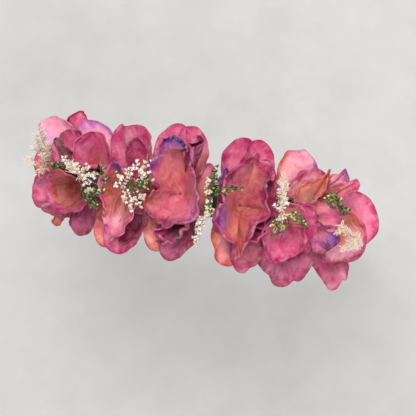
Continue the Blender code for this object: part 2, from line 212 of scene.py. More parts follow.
def thread_weave():
    """Plain weave. Its vector counts millimetres, and Height stands over each thread."""
    group, g, given, out = new_group(
        "thread_weave",
        [("Vector", "NodeSocketVector", None), ("Threads", "NodeSocketFloat", 3.0)],
        [("Shade", "NodeSocketFloat"), ("Height", "NodeSocketFloat")])
    scaled = g.put("ShaderNodeVectorMath", {0: given.outputs["Vector"],
                                            3: given.outputs["Threads"]},
                   operation="SCALE").outputs[0]
    parts = g.put("ShaderNodeSeparateXYZ", {0: scaled}).outputs
    warp = g.math("SINE", g.math("MULTIPLY", parts[0], math.tau))
    weft = g.math("SINE", g.math("MULTIPLY", parts[1], math.tau))
    over = g.math("SINE", g.math("MULTIPLY", g.math("ADD", parts[0], parts[1]), math.pi))
    height = g.math("MULTIPLY", g.math("ADD", g.math("MAXIMUM", warp, weft), over), 0.4)
    uneven = g.noise(g.stretch(scaled, (0.06, 0.9, 1.0)), 1.0, 3.0, 0.6)
    group.links.new(uneven, out.inputs["Shade"])
    group.links.new(height, out.inputs["Height"])
    return group


VEINS = petal_veins()
WEAVE = thread_weave()


def new_material(name):
    made = bpy.data.materials.new(name)
    made.use_nodes = True
    made.node_tree.nodes.clear()
    graph = Graph(made.node_tree)
    return made, graph


def finish_material(graph, principled, glow=None, share=0.0):
    """Sends the surface out, with a share of light let through where glow gives its colour."""
    surface = principled.outputs[0]
    if glow is not None:
        through = graph.put("ShaderNodeBsdfTranslucent", {"Color": glow})
        surface = graph.put("ShaderNodeMixShader", {0: share, 1: surface,
                                                    2: through.outputs[0]}).outputs[0]
    graph.put("ShaderNodeOutputMaterial", {"Surface": surface})


def petal_material(name, vein_spacing, vein_depth, blotch, rough):
    made, g = new_material(name)
    dye = g.put("ShaderNodeAttribute", attribute_name="dye").outputs["Color"]
    border = g.put("ShaderNodeAttribute", attribute_name="border").outputs["Fac"]
    uv = g.put("ShaderNodeUVMap", uv_map="cloth").outputs[0]
    place = g.put("ShaderNodeTexCoord").outputs["Object"]
    veins = g.put("ShaderNodeGroup", node_tree=VEINS)
    g.tree.links.new(uv, veins.inputs["Vector"])
    g.tree.links.new(place, veins.inputs["Place"])
    veins.inputs["Vein Spacing"].default_value = vein_spacing
    veins.inputs["Blotch Size"].default_value = blotch
    deep = g.mix(1.0, dye, (0.62, 0.30, 0.48, 1.0), "MULTIPLY")
    pale = g.mix(0.38, dye, (1.0, 0.80, 0.82, 1.0))
    colour = g.mix(g.math("MULTIPLY", veins.outputs["Veins"], vein_depth), dye, deep)
    colour = g.mix(g.math("MULTIPLY", veins.outputs["Blotches"], 0.55), colour, pale)
    bleed = g.math("MULTIPLY", g.math("MULTIPLY", border, 0.75), g.math(
        "SUBTRACT", 1.0, veins.outputs["Blotches"]))
    colour = g.mix(bleed, colour, deep)
    colour = g.mix(g.math("MULTIPLY", veins.outputs["Speckle"], 0.16), colour, deep)
    bump = g.put("ShaderNodeBump", {"Height": veins.outputs["Height"], "Strength": 0.45,
                                    "Distance": 0.0004})
    shader = g.put("ShaderNodeBsdfPrincipled", {
        "Base Color": colour, "Normal": bump.outputs[0],
        "Roughness": g.ramp(veins.outputs["Blotches"], 0.0, 1.0, rough - 0.08, rough + 0.1),
        "Sheen Weight": 0.08, "Sheen Roughness": 0.45, "Specular IOR Level": 0.28})
    shader.inputs["Sheen Tint"].default_value = (1.0, 0.82, 0.88, 1.0)
    finish_material(g, shader, colour, 0.2)
    return made


def plain_cloth(name, colour, threads, depth, rough, sheen):
    """Woven cloth on its own UV map."""
    made, g = new_material(name)
    uv = g.put("ShaderNodeUVMap", uv_map="cloth").outputs[0]
    weave = g.put("ShaderNodeGroup", node_tree=WEAVE)
    g.tree.links.new(uv, weave.inputs["Vector"])
    weave.inputs["Threads"].default_value = threads
    place = g.put("ShaderNodeTexCoord").outputs["Object"]
    soil = g.noise(place, 60.0, 4.0, 0.6)
    base = (*linear(colour), 1.0)
    deep = (*linear(tuple(c * 0.82 for c in colour)), 1.0)
    mixed = g.mix(g.ramp(weave.outputs["Shade"], 0.3, 0.7, 0.0, 0.7), base, deep)
    mixed = g.mix(g.ramp(soil, 0.45, 0.75, 0.0, 0.35), mixed, deep)
    bump = g.put("ShaderNodeBump", {"Height": weave.outputs["Height"], "Strength": 0.5,
                                    "Distance": depth})
    shader = g.put("ShaderNodeBsdfPrincipled", {
        "Base Color": mixed, "Normal": bump.outputs[0], "Roughness": rough,
        "Sheen Weight": sheen, "Sheen Roughness": 0.3})
    finish_material(g, shader)
    return made


def felt_material(name, colour):
    made, g = new_material(name)
    place = g.put("ShaderNodeTexCoord").outputs["Object"]
    tufts = g.noise(place, 900.0, 6.0, 0.75, 0.4)
    clumps = g.noise(place, 140.0, 4.0, 0.6)
    base = (*linear(colour), 1.0)
    deep = (*linear(tuple(c * 0.72 for c in colour)), 1.0)
    light = (*linear(tuple(min(1.0, c * 1.18) for c in colour)), 1.0)
    mixed = g.mix(g.ramp(tufts, 0.35, 0.65), deep, light)
    mixed = g.mix(g.ramp(clumps, 0.3, 0.7, 0.3, 0.9), mixed, base)
    bump = g.put("ShaderNodeBump", {"Height": g.math("ADD", tufts, clumps), "Strength": 0.8,
                                    "Distance": 0.0005})
    shader = g.put("ShaderNodeBsdfPrincipled", {
        "Base Color": mixed, "Normal": bump.outputs[0], "Roughness": 0.95,
        "Sheen Weight": 0.4, "Sheen Roughness": 0.6})
    finish_material(g, shader)
    return made


def tinted(name, colours, rough, attribute="tint", glow=0.0, bump_size=900.0):
    """Small parts whose colour runs through colours by a value stored on each of them, with
    soft shading from the place noise."""
    made, g = new_material(name)
    tint = g.put("ShaderNodeAttribute", attribute_name=attribute).outputs["Fac"]
    place = g.put("ShaderNodeTexCoord").outputs["Object"]
    fleck = g.noise(place, bump_size, 3.0, 0.6)
    value = g.math("ADD", tint, g.ramp(fleck, 0.3, 0.7, -0.16, 0.16), clamp=True)
    ramp = g.put("ShaderNodeValToRGB", {0: value})
    stops = ramp.color_ramp.elements
    while len(stops) < len(colours):
        stops.new(0.5)
    for i, colour in enumerate(colours):
        stops[i].position = i / (len(colours) - 1)
        stops[i].color = (*linear(colour), 1.0)
    bump = g.put("ShaderNodeBump", {"Height": fleck, "Strength": 0.5, "Distance": 0.0002})
    shader = g.put("ShaderNodeBsdfPrincipled", {
        "Base Color": ramp.outputs[0], "Normal": bump.outputs[0], "Roughness": rough,
        "Sheen Weight": 0.15, "Specular IOR Level": 0.35})
    finish_material(g, shader, ramp.outputs[0] if glow else None, glow)
    return made


def brushed_metal(name, colour, rough, grain):
    made, g = new_material(name)
    place = g.put("ShaderNodeTexCoord").outputs["Object"]
    lines = g.noise(g.stretch(place, grain), 1.0, 4.0, 0.65)
    wear = g.noise(place, 260.0, 5.0, 0.6)
    base = (*linear(colour), 1.0)
    dull = (*linear(tuple(c * 0.7 for c in colour)), 1.0)
    mixed = g.mix(g.ramp(wear, 0.5, 0.8, 0.0, 0.6), base, dull)
    bump = g.put("ShaderNodeBump", {"Height": lines, "Strength": 0.25, "Distance": 0.0001})
    shader = g.put("ShaderNodeBsdfPrincipled", {
        "Base Color": mixed, "Normal": bump.outputs[0], "Metallic": 1.0,
        "Roughness": g.ramp(g.math("ADD", lines, wear), 0.7, 1.3, rough - 0.1, rough + 0.15)})
    finish_material(g, shader)
    return made


OUTER_CLOTH = petal_material("outer_petal_cloth", 0.8, 0.42, 5.0, 0.55)
INNER_CLOTH = petal_material("inner_petal_cloth", 0.7, 0.5, 4.0, 0.5)
SEPAL_GREEN = tinted("sepal_green", [(0.17, 0.22, 0.08), (0.35, 0.42, 0.16)], 0.6, "tint", 0.08)
STALK_GREEN = tinted("stalk_green", [(0.22, 0.28, 0.10), (0.38, 0.42, 0.20)], 0.65)
BUD_GREEN = tinted("bud_green", [(0.10, 0.15, 0.03), (0.22, 0.30, 0.08), (0.36, 0.42, 0.12),
                                 (0.84, 0.80, 0.55)], 0.6, "tint", 0.05)
FLORET_CREAM = tinted("floret_cream", [(0.88, 0.81, 0.71), (0.95, 0.91, 0.85),
                                       (0.98, 0.96, 0.93)], 0.7, "tint", 0.3)
PLUME_CREAM = tinted("plume_cream", [(0.92, 0.84, 0.74), (0.96, 0.92, 0.85),
                                     (0.98, 0.96, 0.92)], 0.8, "tint", 0.35)
RIBBON_SATIN = plain_cloth("ribbon_satin", (0.90, 0.84, 0.76), 3.2, 0.00012, 0.38, 0.5)
THREAD = tinted("sewing_thread", [(0.80, 0.74, 0.64), (0.92, 0.88, 0.80)], 0.6)
MOSS_FELT = felt_material("moss_felt", (0.22, 0.27, 0.13))
CREAM_FELT = felt_material("cream_felt", (0.84, 0.79, 0.70))
SATIN_BRASS = brushed_metal("satin_brass", (0.83, 0.66, 0.38), 0.3, (400.0, 400.0, 6000.0))
STRIP_STEEL = brushed_metal("strip_steel", (0.62, 0.62, 0.64), 0.35, (300.0, 4000.0, 300.0))


# ---------------------------------------------------------------- mesh helpers

class Cloth:
    """Gathers grids of points into one mesh, each with its place on the cloth and its dye."""

    def __init__(self):
        self.points, self.faces, self.uvs, self.dyes, self.count = [], [], [], [], 0

    def add(self, points, uv, dye, share=None, closed=False):
        rows, columns = points.shape[:2]
        index = self.count + np.arange(rows * columns).reshape(rows, columns)
        right = np.roll(index, -1, axis=1) if closed else index[:, 1:]
        left = index if closed else index[:, :-1]
        quads = np.stack([left[:-1], right[:-1], right[1:], left[1:]], axis=-1)
        self.points.append(points.reshape(-1, 3))
        self.faces.append(quads.reshape(-1, 4))
        corner_uv = uv.reshape(-1, 2)[quads.reshape(-1, 4) - self.count]
        if closed:  # the last column's far corners carry on from it
            step = uv[:, -1] - uv[:, -2]
            lap = corner_uv.reshape(rows - 1, columns, 4, 2)
            lap[:, -1, 1] = uv[:-1, -1] + step[:-1]
            lap[:, -1, 2] = uv[1:, -1] + step[1:]
        self.uvs.append(corner_uv.reshape(-1, 2))
        share = np.zeros(points.shape[:2]) if share is None else share
        self.dyes.append(np.concatenate([dye, share[..., None]], axis=2).reshape(-1, 4))
        self.count += rows * columns

    def build(self, name, material, thickness=0.0):
        mesh = bpy.data.meshes.new(name)
        faces = np.concatenate(self.faces)
        mesh.from_pydata((np.concatenate(self.points) * MM).tolist(), [], faces.tolist())
        mesh.uv_layers.new(name="cloth").data.foreach_set(
            "uv", np.concatenate(self.uvs).reshape(-1))
        dyes = np.concatenate(self.dyes).astype(np.float32)
        colours = np.concatenate([dyes[:, :3], np.ones((len(dyes), 1), np.float32)], axis=1)
        mesh.color_attributes.new("dye", "FLOAT_COLOR", "POINT").data.foreach_set(
            "color", colours.reshape(-1))
        mesh.attributes.new("border", "FLOAT", "POINT").data.foreach_set("value", dyes[:, 3])
        mesh.shade_smooth()
        obj = link(name, mesh, material)
        if thickness:
            wall = obj.modifiers.new("cloth_thickness", "SOLIDIFY")
            wall.thickness = thickness * MM
            wall.offset = 0.0
        return obj


def link(name, data, material=None):
    obj = bpy.data.objects.new(name, data)
    bpy.context.scene.collection.objects.link(obj)
    if material:
        data.materials.append(material)
    return obj


def smooth_line(points, count, closed=False):
    """count points spaced along a smooth curve through the given ones."""
    p = np.array(points, float)
    if closed:
        p = np.vstack([p[-1], p, p[0], p[1]])
    step = np.linalg.norm(np.diff(p, axis=0), axis=1) ** 0.5
    t = np.concatenate([[0.0], np.cumsum(step)])
    slope = np.empty_like(p)
    slope[1:-1] = (p[2:] - p[:-2]) / (t[2:] - t[:-2])[:, None]
    slope[0] = (p[1] - p[0]) / step[0]
    slope[-1] = (p[-1] - p[-2]) / step[-1]

    def at(where):
        i = np.clip(np.searchsorted(t, where, side="right") - 1, 0, len(t) - 2)
        h = (t[i + 1] - t[i])[:, None]
        s = ((where - t[i])[:, None]) / h
        return ((2 * s**3 - 3 * s**2 + 1) * p[i] + (s**3 - 2 * s**2 + s) * h * slope[i]
                + (3 * s**2 - 2 * s**3) * p[i + 1] + (s**3 - s**2) * h * slope[i + 1])

    low, high = (t[1], t[-2]) if closed else (t[0], t[-1])
    dense = at(np.linspace(low, high, count * 8))
    along = np.concatenate([[0.0], np.cumsum(np.linalg.norm(np.diff(dense, axis=0), axis=1))])
    even = np.linspace(0.0, along[-1], count + 1)[:-1] if closed else np.linspace(
        0.0, along[-1], count)
    return np.stack([np.interp(even, along, dense[:, k]) for k in range(3)], axis=1)


def unit(v):
    return v / np.maximum(np.linalg.norm(v, axis=-1, keepdims=True), 1e-9)


def grid_normals(points, closed=False):
    down = np.gradient(points, axis=0)
    if closed:
        across = np.roll(points, -1, axis=1) - np.roll(points, 1, axis=1)
    else:
        across = np.gradient(points, axis=1)
    return unit(np.cross(across, down))


def mean(node):
    """The mean of a CAD piece's own points, in millimetres."""
    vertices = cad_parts[node].data.vertices
    points = np.empty(len(vertices) * 3)
    vertices.foreach_get("co", points)
    return points.reshape(-1, 3).mean(axis=0) / MM


# ---------------------------------------------------------------- blooms

CALYX_MIDDLE = 2.6      # mm from a calyx's foot to the middle of its points, along its axis
BLOOM_COUNT = 8
PETAL_REACH = 25.0      # mm that a petal may reach along the band from its bloom's axis


class Bloom:
    """A bloom's foot, and its axis out of the band, found from its calyx and its pin."""

    def __init__(self, number):
        self.name = f"bloom_{number}"
        low, high = mean(self.name + "_calyx"), mean(self.name + "_pin")
        self.axis = unit(high - low)
        self.foot = low - self.axis * CALYX_MIDDLE
        self.side = unit(np.cross(self.axis, np.array([0.0, 1.0, 0.0])))
        self.back = np.cross(self.axis, self.side)

    def sight(self, x, y, lift):
        """The point that shows at x and y on the plan and is lift above the bloom's foot, or
        as near to that as keeps a petal from reaching too far along the band."""
        slope = np.array([-x / SIGHT, -y / SIGHT, 1.0])
        start = np.array([x * EYE_HEIGHT / SIGHT, y * EYE_HEIGHT / SIGHT, 0.0])
        moves = np.arange(0.0, 24.0, 0.2)
        moves = np.stack([moves, -moves], axis=1).reshape(-1)
        z = (lift + moves - (start - self.foot) @ self.axis) / (slope @ self.axis)
        points = start + slope * z[:, None]
        stray = np.abs((points - self.foot) @ self.side) - (PETAL_REACH - 0.1 * np.abs(moves))
        return points[np.argmax(stray < 0.0)] if (stray < 0.0).any() else points[stray.argmin()]

    def over(self, x, y, height):
        """The point that shows at x and y on the plan and is height above the head's middle."""
        scale = (EYE_HEIGHT - height) / SIGHT
        return np.array([x * scale, y * scale, height])

    def local(self, x, y, z):
        return (self.foot + np.multiply.outer(x, self.side) + np.multiply.outer(y, self.back)
                + np.multiply.outer(z, self.axis))


def wave_sum(rng, count, low, high, whole=False):
    """A smooth uneven wave of x, about one unit high; whole makes it meet itself at 0 and 1."""
    pitch = rng.integers(int(low), int(high) + 1, count) if whole else rng.uniform(low, high,
          count)
    phase = rng.uniform(0.0, math.tau, count)
    return lambda x: np.sin(np.multiply.outer(x, pitch) * math.tau + phase).sum(-1) / count**0.5


def petal_surface(cloth, bloom, rng, dye, rim, foot=None, bow=1.0, crease=0.22, ruffle=0.24,
                  lip=0.45, turn=120.0, root=6.0, tints=(), spots=(), folds=(2.0, 5.0), waist=0.8,
                  cup=False, line=0.75, level=False):
    """One petal, from its foot on the bloom's axis out to its rim, or a whole cup of petals
    grown together, whose rim is a loop.

    rim is the outline as plan positions, each with its lift over the bloom's foot, or with
    its height over the head's middle where level is set. bow over 1 makes a bowl that climbs
    late, and under 1 one that climbs early and flattens. The petal starts at foot, or root
    millimetres up the axis. The edge rolls over by turn degrees on a radius of lip, outwards
    if turn is positive, and line is how much darker the cut edge is. dye names the colours
    at foot, middle and rim. A tint is (across, along, reach across, reach along, dye,
    strength), and a spot is the same with its middle and reaches in millimetres on the
    plan."""
    columns, rows, lip_rows = (144, 34, 5) if cup else (64, 28, 5)
    place = bloom.over if level else bloom.sight
    edge = smooth_line([place(*point) for point in rim], columns, closed=cup)
    start = bloom.foot + bloom.axis * root if foot is None else bloom.sight(*foot)
    u = np.linspace(0.0, 1.0, columns, endpoint=not cup)
    v = np.linspace(0.0, 1.0, rows)
    loop = edge if not cup else np.vstack([edge, edge[:1]])
    size = float(np.sum(np.linalg.norm(np.diff(loop, axis=0), axis=1)))
    nick = wave_sum(rng, 5, size / 18.0, size / 7.0, cup)(u)
    reach = (edge - start) * (1.0 + 0.004 * nick[:, None])
    climb = reach @ bloom.axis
    flat = reach - climb[:, None] * bloom.axis
    out = unit(flat)
    length = np.linalg.norm(flat, axis=1)
    neck = np.minimum(0.5, length * 0.3)
    spread = neck + (length - neck) * (v[:, None] ** waist)
    rise = climb * (v[:, None] ** bow)
    points = start + out * spread[..., None] + bloom.axis * rise[..., None]
    # creases run from the foot, ruffles along the rim and crinkles everywhere
    fold = wave_sum(rng, 4, *folds, cup)
    frill = wave_sum(rng, 5, size / 13.0, size / 5.0, cup)
    pleat = wave_sum(rng, 6, size / 4.0, size / 2.0, cup)
    shift = u + 0.03 * wave_sum(rng, 3, 0.3, 1.2)(v)[:, None]
    ripple = wave_sum(rng, 4, 2.0, 6.0)
    wave = (crease * fold(shift) * smoothstep(0.15, 0.9, v)[:, None]
            + ruffle * frill(shift) * smoothstep(0.55, 1.0, v)[:, None]
            + 0.05 * pleat(shift) * smoothstep(0.3, 0.8, v)[:, None]
            + 0.10 * ripple(v[:, None] + 0.12 * fold(u)) * smoothstep(0.2, 0.7, v)[:, None])
    points = points + grid_normals(points, cup) * wave[..., None]
    # the rolled edge
    tip = unit(points[-1] - points[-2])
    normal = grid_normals(points, cup)[-1]
    away = np.sign(normal @ bloom.axis)[:, None] * normal * (1.0 if turn > 0 else -1.0)
    curl = lip * (0.7 + 0.3 * wave_sum(rng, 3, 1.0, 4.0, cup)(u))
    if not cup:
        curl = curl * smoothstep(0.0, 0.12, u) * smoothstep(0.0, 0.12, 1.0 - u)
    roll = []
    for k in range(1, lip_rows + 1):
        angle = math.radians(abs(turn)) * k / lip_rows
        roll.append(points[-1] + (tip * math.sin(angle) - away * (1 - math.cos(angle)))
                    * curl[:, None])
    points = np.concatenate([points, np.array(roll)])
    # dyes: heart to body to border, with a darker line along the cut edge that is partly the dye
    # the edge takes and partly painted shade for the shadow line where petals overlap
    u_all, v_all = np.meshgrid(u, np.concatenate([v, 1.0 + 0.01 * np.arange(1, lip_rows + 1)]))
    heart, body, border = (INKS[name] for name in dye)
    uneven = 0.08 * wave_sum(rng, 4, 1.0, 5.0, cup)(u) + 0.03 * wave_sum(
        rng, 5, 8.0, 22.0, cup)(u)
    near = smoothstep(0.12, 0.62, v_all + uneven)[..., None]
    colour = heart * (1 - near) + body * near
    border_share = smoothstep(0.76, 0.98, v_all + 0.6 * uneven)
    if not cup:
        side = smoothstep(0.90, 1.0, np.abs(2 * u_all - 1)) * smoothstep(0.55, 0.85, v_all)
        border_share = np.maximum(border_share, 0.7 * side)
    colour = colour * (1 - border_share[..., None]) + border * border_share[..., None]
    # painted shade: a dark line along the cut edge, partly dye and partly the shadow line where
    # one petal lies over another
    edge_dye_and_shade_line = line * smoothstep(0.955, 0.985, v_all) * (1 - smoothstep(1.02, 1.05, v_all))
    plan = points[..., :2] * (SIGHT / (EYE_HEIGHT - points[..., 2]))[..., None]
    places = [(u_all - across + 0.3 * uneven, v_all - along, *rest)
              for across, along, *rest in tints]
    places += [(plan[..., 0] - x, plan[..., 1] - y, *rest) for x, y, *rest in spots]
    for across, along, wide, long, name, strength in places:
        spot = (strength * np.exp(-(across / wide) ** 2 - (along / long) ** 2))[..., None]
        colour = colour * (1 - spot) + INKS[name] * spot
    colour = colour * (1 - edge_dye_and_shade_line[..., None] * (1 - np.array([0.62, 0.30, 0.55])))
    depth = np.concatenate([[0.0], np.cumsum(np.linalg.norm(
        np.diff(points.mean(axis=1), axis=0), axis=1))])
    uv = np.stack([u_all * round(size) + rng.uniform(0, 90), depth[:, None] + 0 * u_all
                   + rng.uniform(0, 90)], axis=-1)
    cloth.add(points, uv, colour, np.clip(border_share, 0.0, 1.0), cup)


PETALS = {}


def petal(bloom, layer, dye, rim, **shape):
    PETALS.setdefault((bloom, layer), []).append((dye, rim, shape))


# bloom_4, the left of the two middle blooms
petal(4, "outer", ("dusty_pink", "dusty_pink", "rose"),
      [(-30, 6, 12), (-35, 14, 12), (-35.5, 24, 10.5), (-31.5, 30.3, 9.5), (-27, 33.6, 9.5),
       (-23.5, 32.4, 10.5), (-19, 24, 12), (-18, 12, 12)], bow=0.6,
      tints=[(0.45, 1.0, 0.3, 0.2, "magenta", 0.5), (0.1, 0.8, 0.1, 0.3, "mauve", 0.5)])
petal(4, "outer", ("dusty_pink", "rose", "magenta"),
      [(-27, 12, 12.5), (-26, 24, 12.3), (-24.3, 31.6, 11.3), (-18.5, 33.4, 10.3),
       (-14, 31, 10.3), (-11, 25, 11), (-9.8, 19.5, 12), (-11.5, 12, 13), (-14, 5, 13)],
      bow=0.6, tints=[(0.72, 0.7, 0.12, 0.3, "peach", 0.75)])
petal(4, "outer", ("rosewood", "peach", "crimson"),
      [(-13, 9, 13), (-10.8, 14.5, 13), (-8.3, 16.9, 13), (-5.8, 15, 13), (-4.8, 9, 13.4),
       (-5, 3, 13.5), (-7, -4, 13.5), (-9, -10, 13.5), (-12, -12, 13)], bow=0.6,
      tints=[(0.6, 0.8, 0.2, 0.3, "rust", 0.6), (0.25, 0.8, 0.15, 0.4, "dusty_pink", 0.8)])
petal(4, "outer", ("rust", "rust", "rust"),
      [(-31, 10, 12.5), (-36.5, 7, 12.5), (-36.3, 0, 13), (-36.6, -6, 12.8), (-35, -13, 12.5),
       (-30, -14, 12)], bow=0.6)
petal(4, "outer", ("rosewood", "rosewood", "rust"),
      [(-33, -4, 12), (-34.5, -12, 12), (-33.7, -20, 11.6), (-31.5, -26, 11), (-28, -29, 10.6),
       (-23.5, -28.3, 10.8), (-21, -20, 12), (-20, -10, 12)], bow=0.6,
      tints=[(0.55, 0.85, 0.2, 0.25, "peach", 0.7), (0.25, 0.6, 0.2, 0.4, "peach", 0.3)])
petal(4, "outer", ("wine", "mauve", "crimson"),
      [(-14, -5, 13.5), (-10.5, -9, 13.5), (-9.4, -13, 13), (-8.3, -19, 12.5), (-10, -24, 12),
       (-15, -30.5, 11), (-19.5, -32.2, 10.8), (-24, -29, 11.3), (-25.5, -22, 12.3),
       (-24, -12, 12.5)], bow=0.6,
      tints=[(0.35, 0.75, 0.16, 0.5, "crimson", 0.75), (0.72, 0.9, 0.14, 0.2, "dusty_pink", 0.5)])
petal(4, "inner", ("crimson", "crimson", "mauve"),
      [(-24, -13, 20), (-26.3, -17.5, 18.5), (-26.8, -22, 17.5), (-22.5, -25.2, 17),
       (-18, -24, 17.5), (-15.2, -20, 19.5), (-12.6, -14, 22), (-11.8, -8, 24)], bow=1.6, root=4.8,
      crease=0.9, folds=(3.0, 8.0), lip=1.1, turn=-150,
      tints=[(0.3, 0.85, 0.16, 0.3, "magenta", 0.7), (0.6, 0.95, 0.1, 0.3, "wine", 0.9)])
petal(4, "inner", ("salmon", "crimson", "mauve"),
      [(-21.5, 17, 27), (-20.3, 22, 27), (-19.6, 25, 26.5), (-18.3, 27.2, 26), (-16, 29.8, 25.5),
       (-14.3, 28, 25.5), (-15.2, 24.5, 26), (-17, 21, 26.5), (-15.8, 15, 26.8)], bow=1.6,
       root=4.8,
      lip=1.0, turn=-120, crease=0.6, tints=[(0.5, 0.75, 0.2, 0.15, "wine", 0.8)])
# bloom_5, the right of the two middle blooms
petal(5, "outer", ("dusty_pink", "rose", "magenta"),
      [(2, 5, 13), (-1, 13, 12.5), (-2.9, 22, 11), (-0.6, 27.5, 10.3), (2.8, 31.3, 10),
       (6, 32.8, 10), (9.8, 31.7, 10.5), (13, 24, 12), (13, 12, 12.5)], bow=0.6,
      tints=[(0.4, 0.6, 0.2, 0.2, "dusty_pink", 0.6)])
petal(5, "outer", ("dusty_pink", "rose", "magenta"),
      [(5, 12, 12.5), (7.5, 24, 12.3), (9.8, 31, 11.3), (14, 33, 10.5), (18, 31.3, 10.3),
       (21.3, 27, 10.5), (22.6, 21.5, 11), (23, 12, 13), (20, 5, 13)], bow=0.6)
petal(5, "outer", ("rosewood", "dusty_pink", "rose"),
      [(20, 18, 12.5), (24.5, 15, 13), (27.9, 10.3, 13.3), (26, 4, 13.8), (27.6, -3, 13.8),
       (25, -9, 13.5), (21, -12, 13)], bow=0.6)
petal(5, "outer", ("crimson", "rosewood", "mauve"),
      [(4, 15, 12.5), (-0.8, 9, 13), (-0.6, 0, 13.5), (-1, -8, 13.2), (0, -14, 12.8),
       (5, -15, 12.5)], bow=0.6)
petal(5, "outer", ("rosewood", "peach", "orange"),
      [(1, -2, 13), (-0.8, -11, 12.8), (-0.4, -17, 12.2), (2, -22, 11.8), (3.2, -26.5, 11.3),
       (7, -29.8, 10.8), (12, -28.6, 10.8), (15, -20, 11.8), (14, -10, 12.3)], bow=0.6,
      tints=[(0.6, 0.7, 0.2, 0.3, "mauve", 0.6), (0.85, 0.9, 0.1, 0.2, "dusty_pink", 0.5)])
petal(5, "outer", ("rosewood", "mauve", "crimson"),
      [(9, -12, 12.8), (10.5, -24, 12), (12.2, -28.4, 11.3), (15, -31.1, 11), (18.5, -31.5, 11),
       (20.6, -28.4, 11), (23.4, -26, 11.5), (24.8, -20, 12), (23.5, -12, 13), (20, -5, 13)],
      bow=0.6, tints=[(0.6, 0.75, 0.2, 0.3, "rosewood", 0.7), (0.35, 1.0, 0.15, 0.1, "rose", 0.6)])
# painted shade: the crimson heart of this curled petal stands for the shade inside it
petal(5, "inner", ("crimson", "magenta", "magenta"),
      [(15, 24, 21), (19, 23.8, 21.5), (22.6, 20, 21.5), (24.6, 15, 21.2), (25, 9, 21),
       (26, 5.6, 20.5), (28, 0.6, 20), (27.3, -4, 19.8), (24, -8, 20), (19, -9, 20.5)],
      bow=1.6, root=4.8, lip=0.8, tints=[(0.3, 0.85, 0.2, 0.15, "crimson", 0.5),
                               (0.85, 0.7, 0.1, 0.3, "mauve", 0.6)])
petal(5, "inner", ("wine", "crimson", "magenta"),
      [(25.5, -1, 21), (24.8, -6, 20.5), (24, -11, 20), (22.5, -15.3, 19.3), (18, -15.8, 19.8),
       (15.5, -19, 20), (14, -14, 21)], bow=1.6, root=4.8, lip=0.9, turn=-120, crease=0.8,
      tints=[(0.7, 0.9, 0.2, 0.2, "rose", 0.6)])
petal(5, "inner", ("violet", "violet", "violet"),
      [(4, 13, 22.5), (1.5, 15.5, 22.5), (0, 17, 22), (-1, 15, 22), (-1.2, 12.5, 22),
       (-3, 10.2, 22), (-0.5, 8.5, 22.5)], foot=(5, 9, 18), bow=1.2, lip=0.4,
      tints=[(0.8, 0.6, 0.3, 0.5, "mauve", 0.6)])
# bloom_3
petal(3, "outer", ("rust", "rust", "rust"),
      [(-50, 9, 12), (-57, 4, 12), (-59.3, -2, 12.3), (-58.7, -10, 12.4), (-57.5, -18, 12.3),
       (-52, -20, 12)], bow=0.6)
petal(3, "outer", ("dusty_pink", "deep_magenta", "magenta"),
      [(-49, 4, 12.8), (-55, 12, 12.8), (-57.3, 20, 12.3), (-56.5, 25, 12), (-54, 28.3, 11.8),
       (-52.3, 27.3, 12.2), (-46, 29.2, 11.5), (-41, 26, 12), (-38, 20.5, 12.5),
       (-35.9, 15.5, 13), (-37, 7, 13)], bow=0.6, crease=0.6,
      tints=[(0.3, 0.55, 0.12, 0.3, "rose", 0.8), (0.84, 0.7, 0.08, 0.4, "peach", 0.85),
             (0.5, 0.6, 0.06, 0.3, "pale_pink", 0.6)])
petal(3, "outer", ("rosewood", "dusty_pink", "orange"),
      [(-55, -8, 12.8), (-57.5, -18, 12.5), (-57, -26, 12), (-54.5, -30.6, 11.3),
       (-50.3, -31.4, 11.3), (-46, -24, 12.3)], bow=0.6,
      tints=[(0.3, 0.7, 0.3, 0.4, "rust", 0.6), (0.75, 0.95, 0.2, 0.2, "peach", 0.6)])
petal(3, "outer", ("wine", "mauve", "magenta"),
      [(-53, -20, 12.8), (-51.5, -30, 12), (-47, -33.7, 11.3), (-42, -33.2, 11.3),
       (-37, -28, 11.8), (-34.3, -20, 12.8), (-34.3, -12, 13.5), (-38, -5, 13.5)], bow=0.6,
      tints=[(0.75, 0.8, 0.2, 0.4, "crimson", 0.85), (0.25, 0.8, 0.15, 0.2, "dusty_pink", 0.8)])
petal(3, "outer", ("peach", "peach", "rose"),
      [(-40, 14, 13), (-36.3, 12, 13.3), (-35.9, 4, 13.8), (-36.2, -4, 13.8), (-36, -12, 13.4),
       (-40, -13, 13)], bow=0.6)
petal(3, "inner", ("wine", "crimson", "crimson"),
      [(-46, -18, 86), (-45, -26, 84), (-42.5, -28.7, 84), (-38, -24.5, 85), (-35.5, -18, 87),
       (-35.8, -11.5, 88), (-40, -7, 89)], level=True, bow=1.2, root=4.0, crease=0.2, ruffle=0.15)
petal(3, "inner", ("magenta", "magenta", "deep_magenta"),
      [(-46.5, 5, 92), (-48.5, 11, 92), (-49.6, 17.8, 92), (-45.5, 22.8, 92), (-41.5, 20.5, 92),
       (-38.9, 15.5, 92), (-38.5, 9, 93), (-41, 4, 93)], level=True, bow=1.3, root=6.0,
       ruffle=0.15,
      crease=0.25, lip=0.5, tints=[(0.75, 0.7, 0.16, 0.4, "rose", 0.9),
                                  (0.45, 0.5, 0.08, 0.4, "magenta", 0.6)])
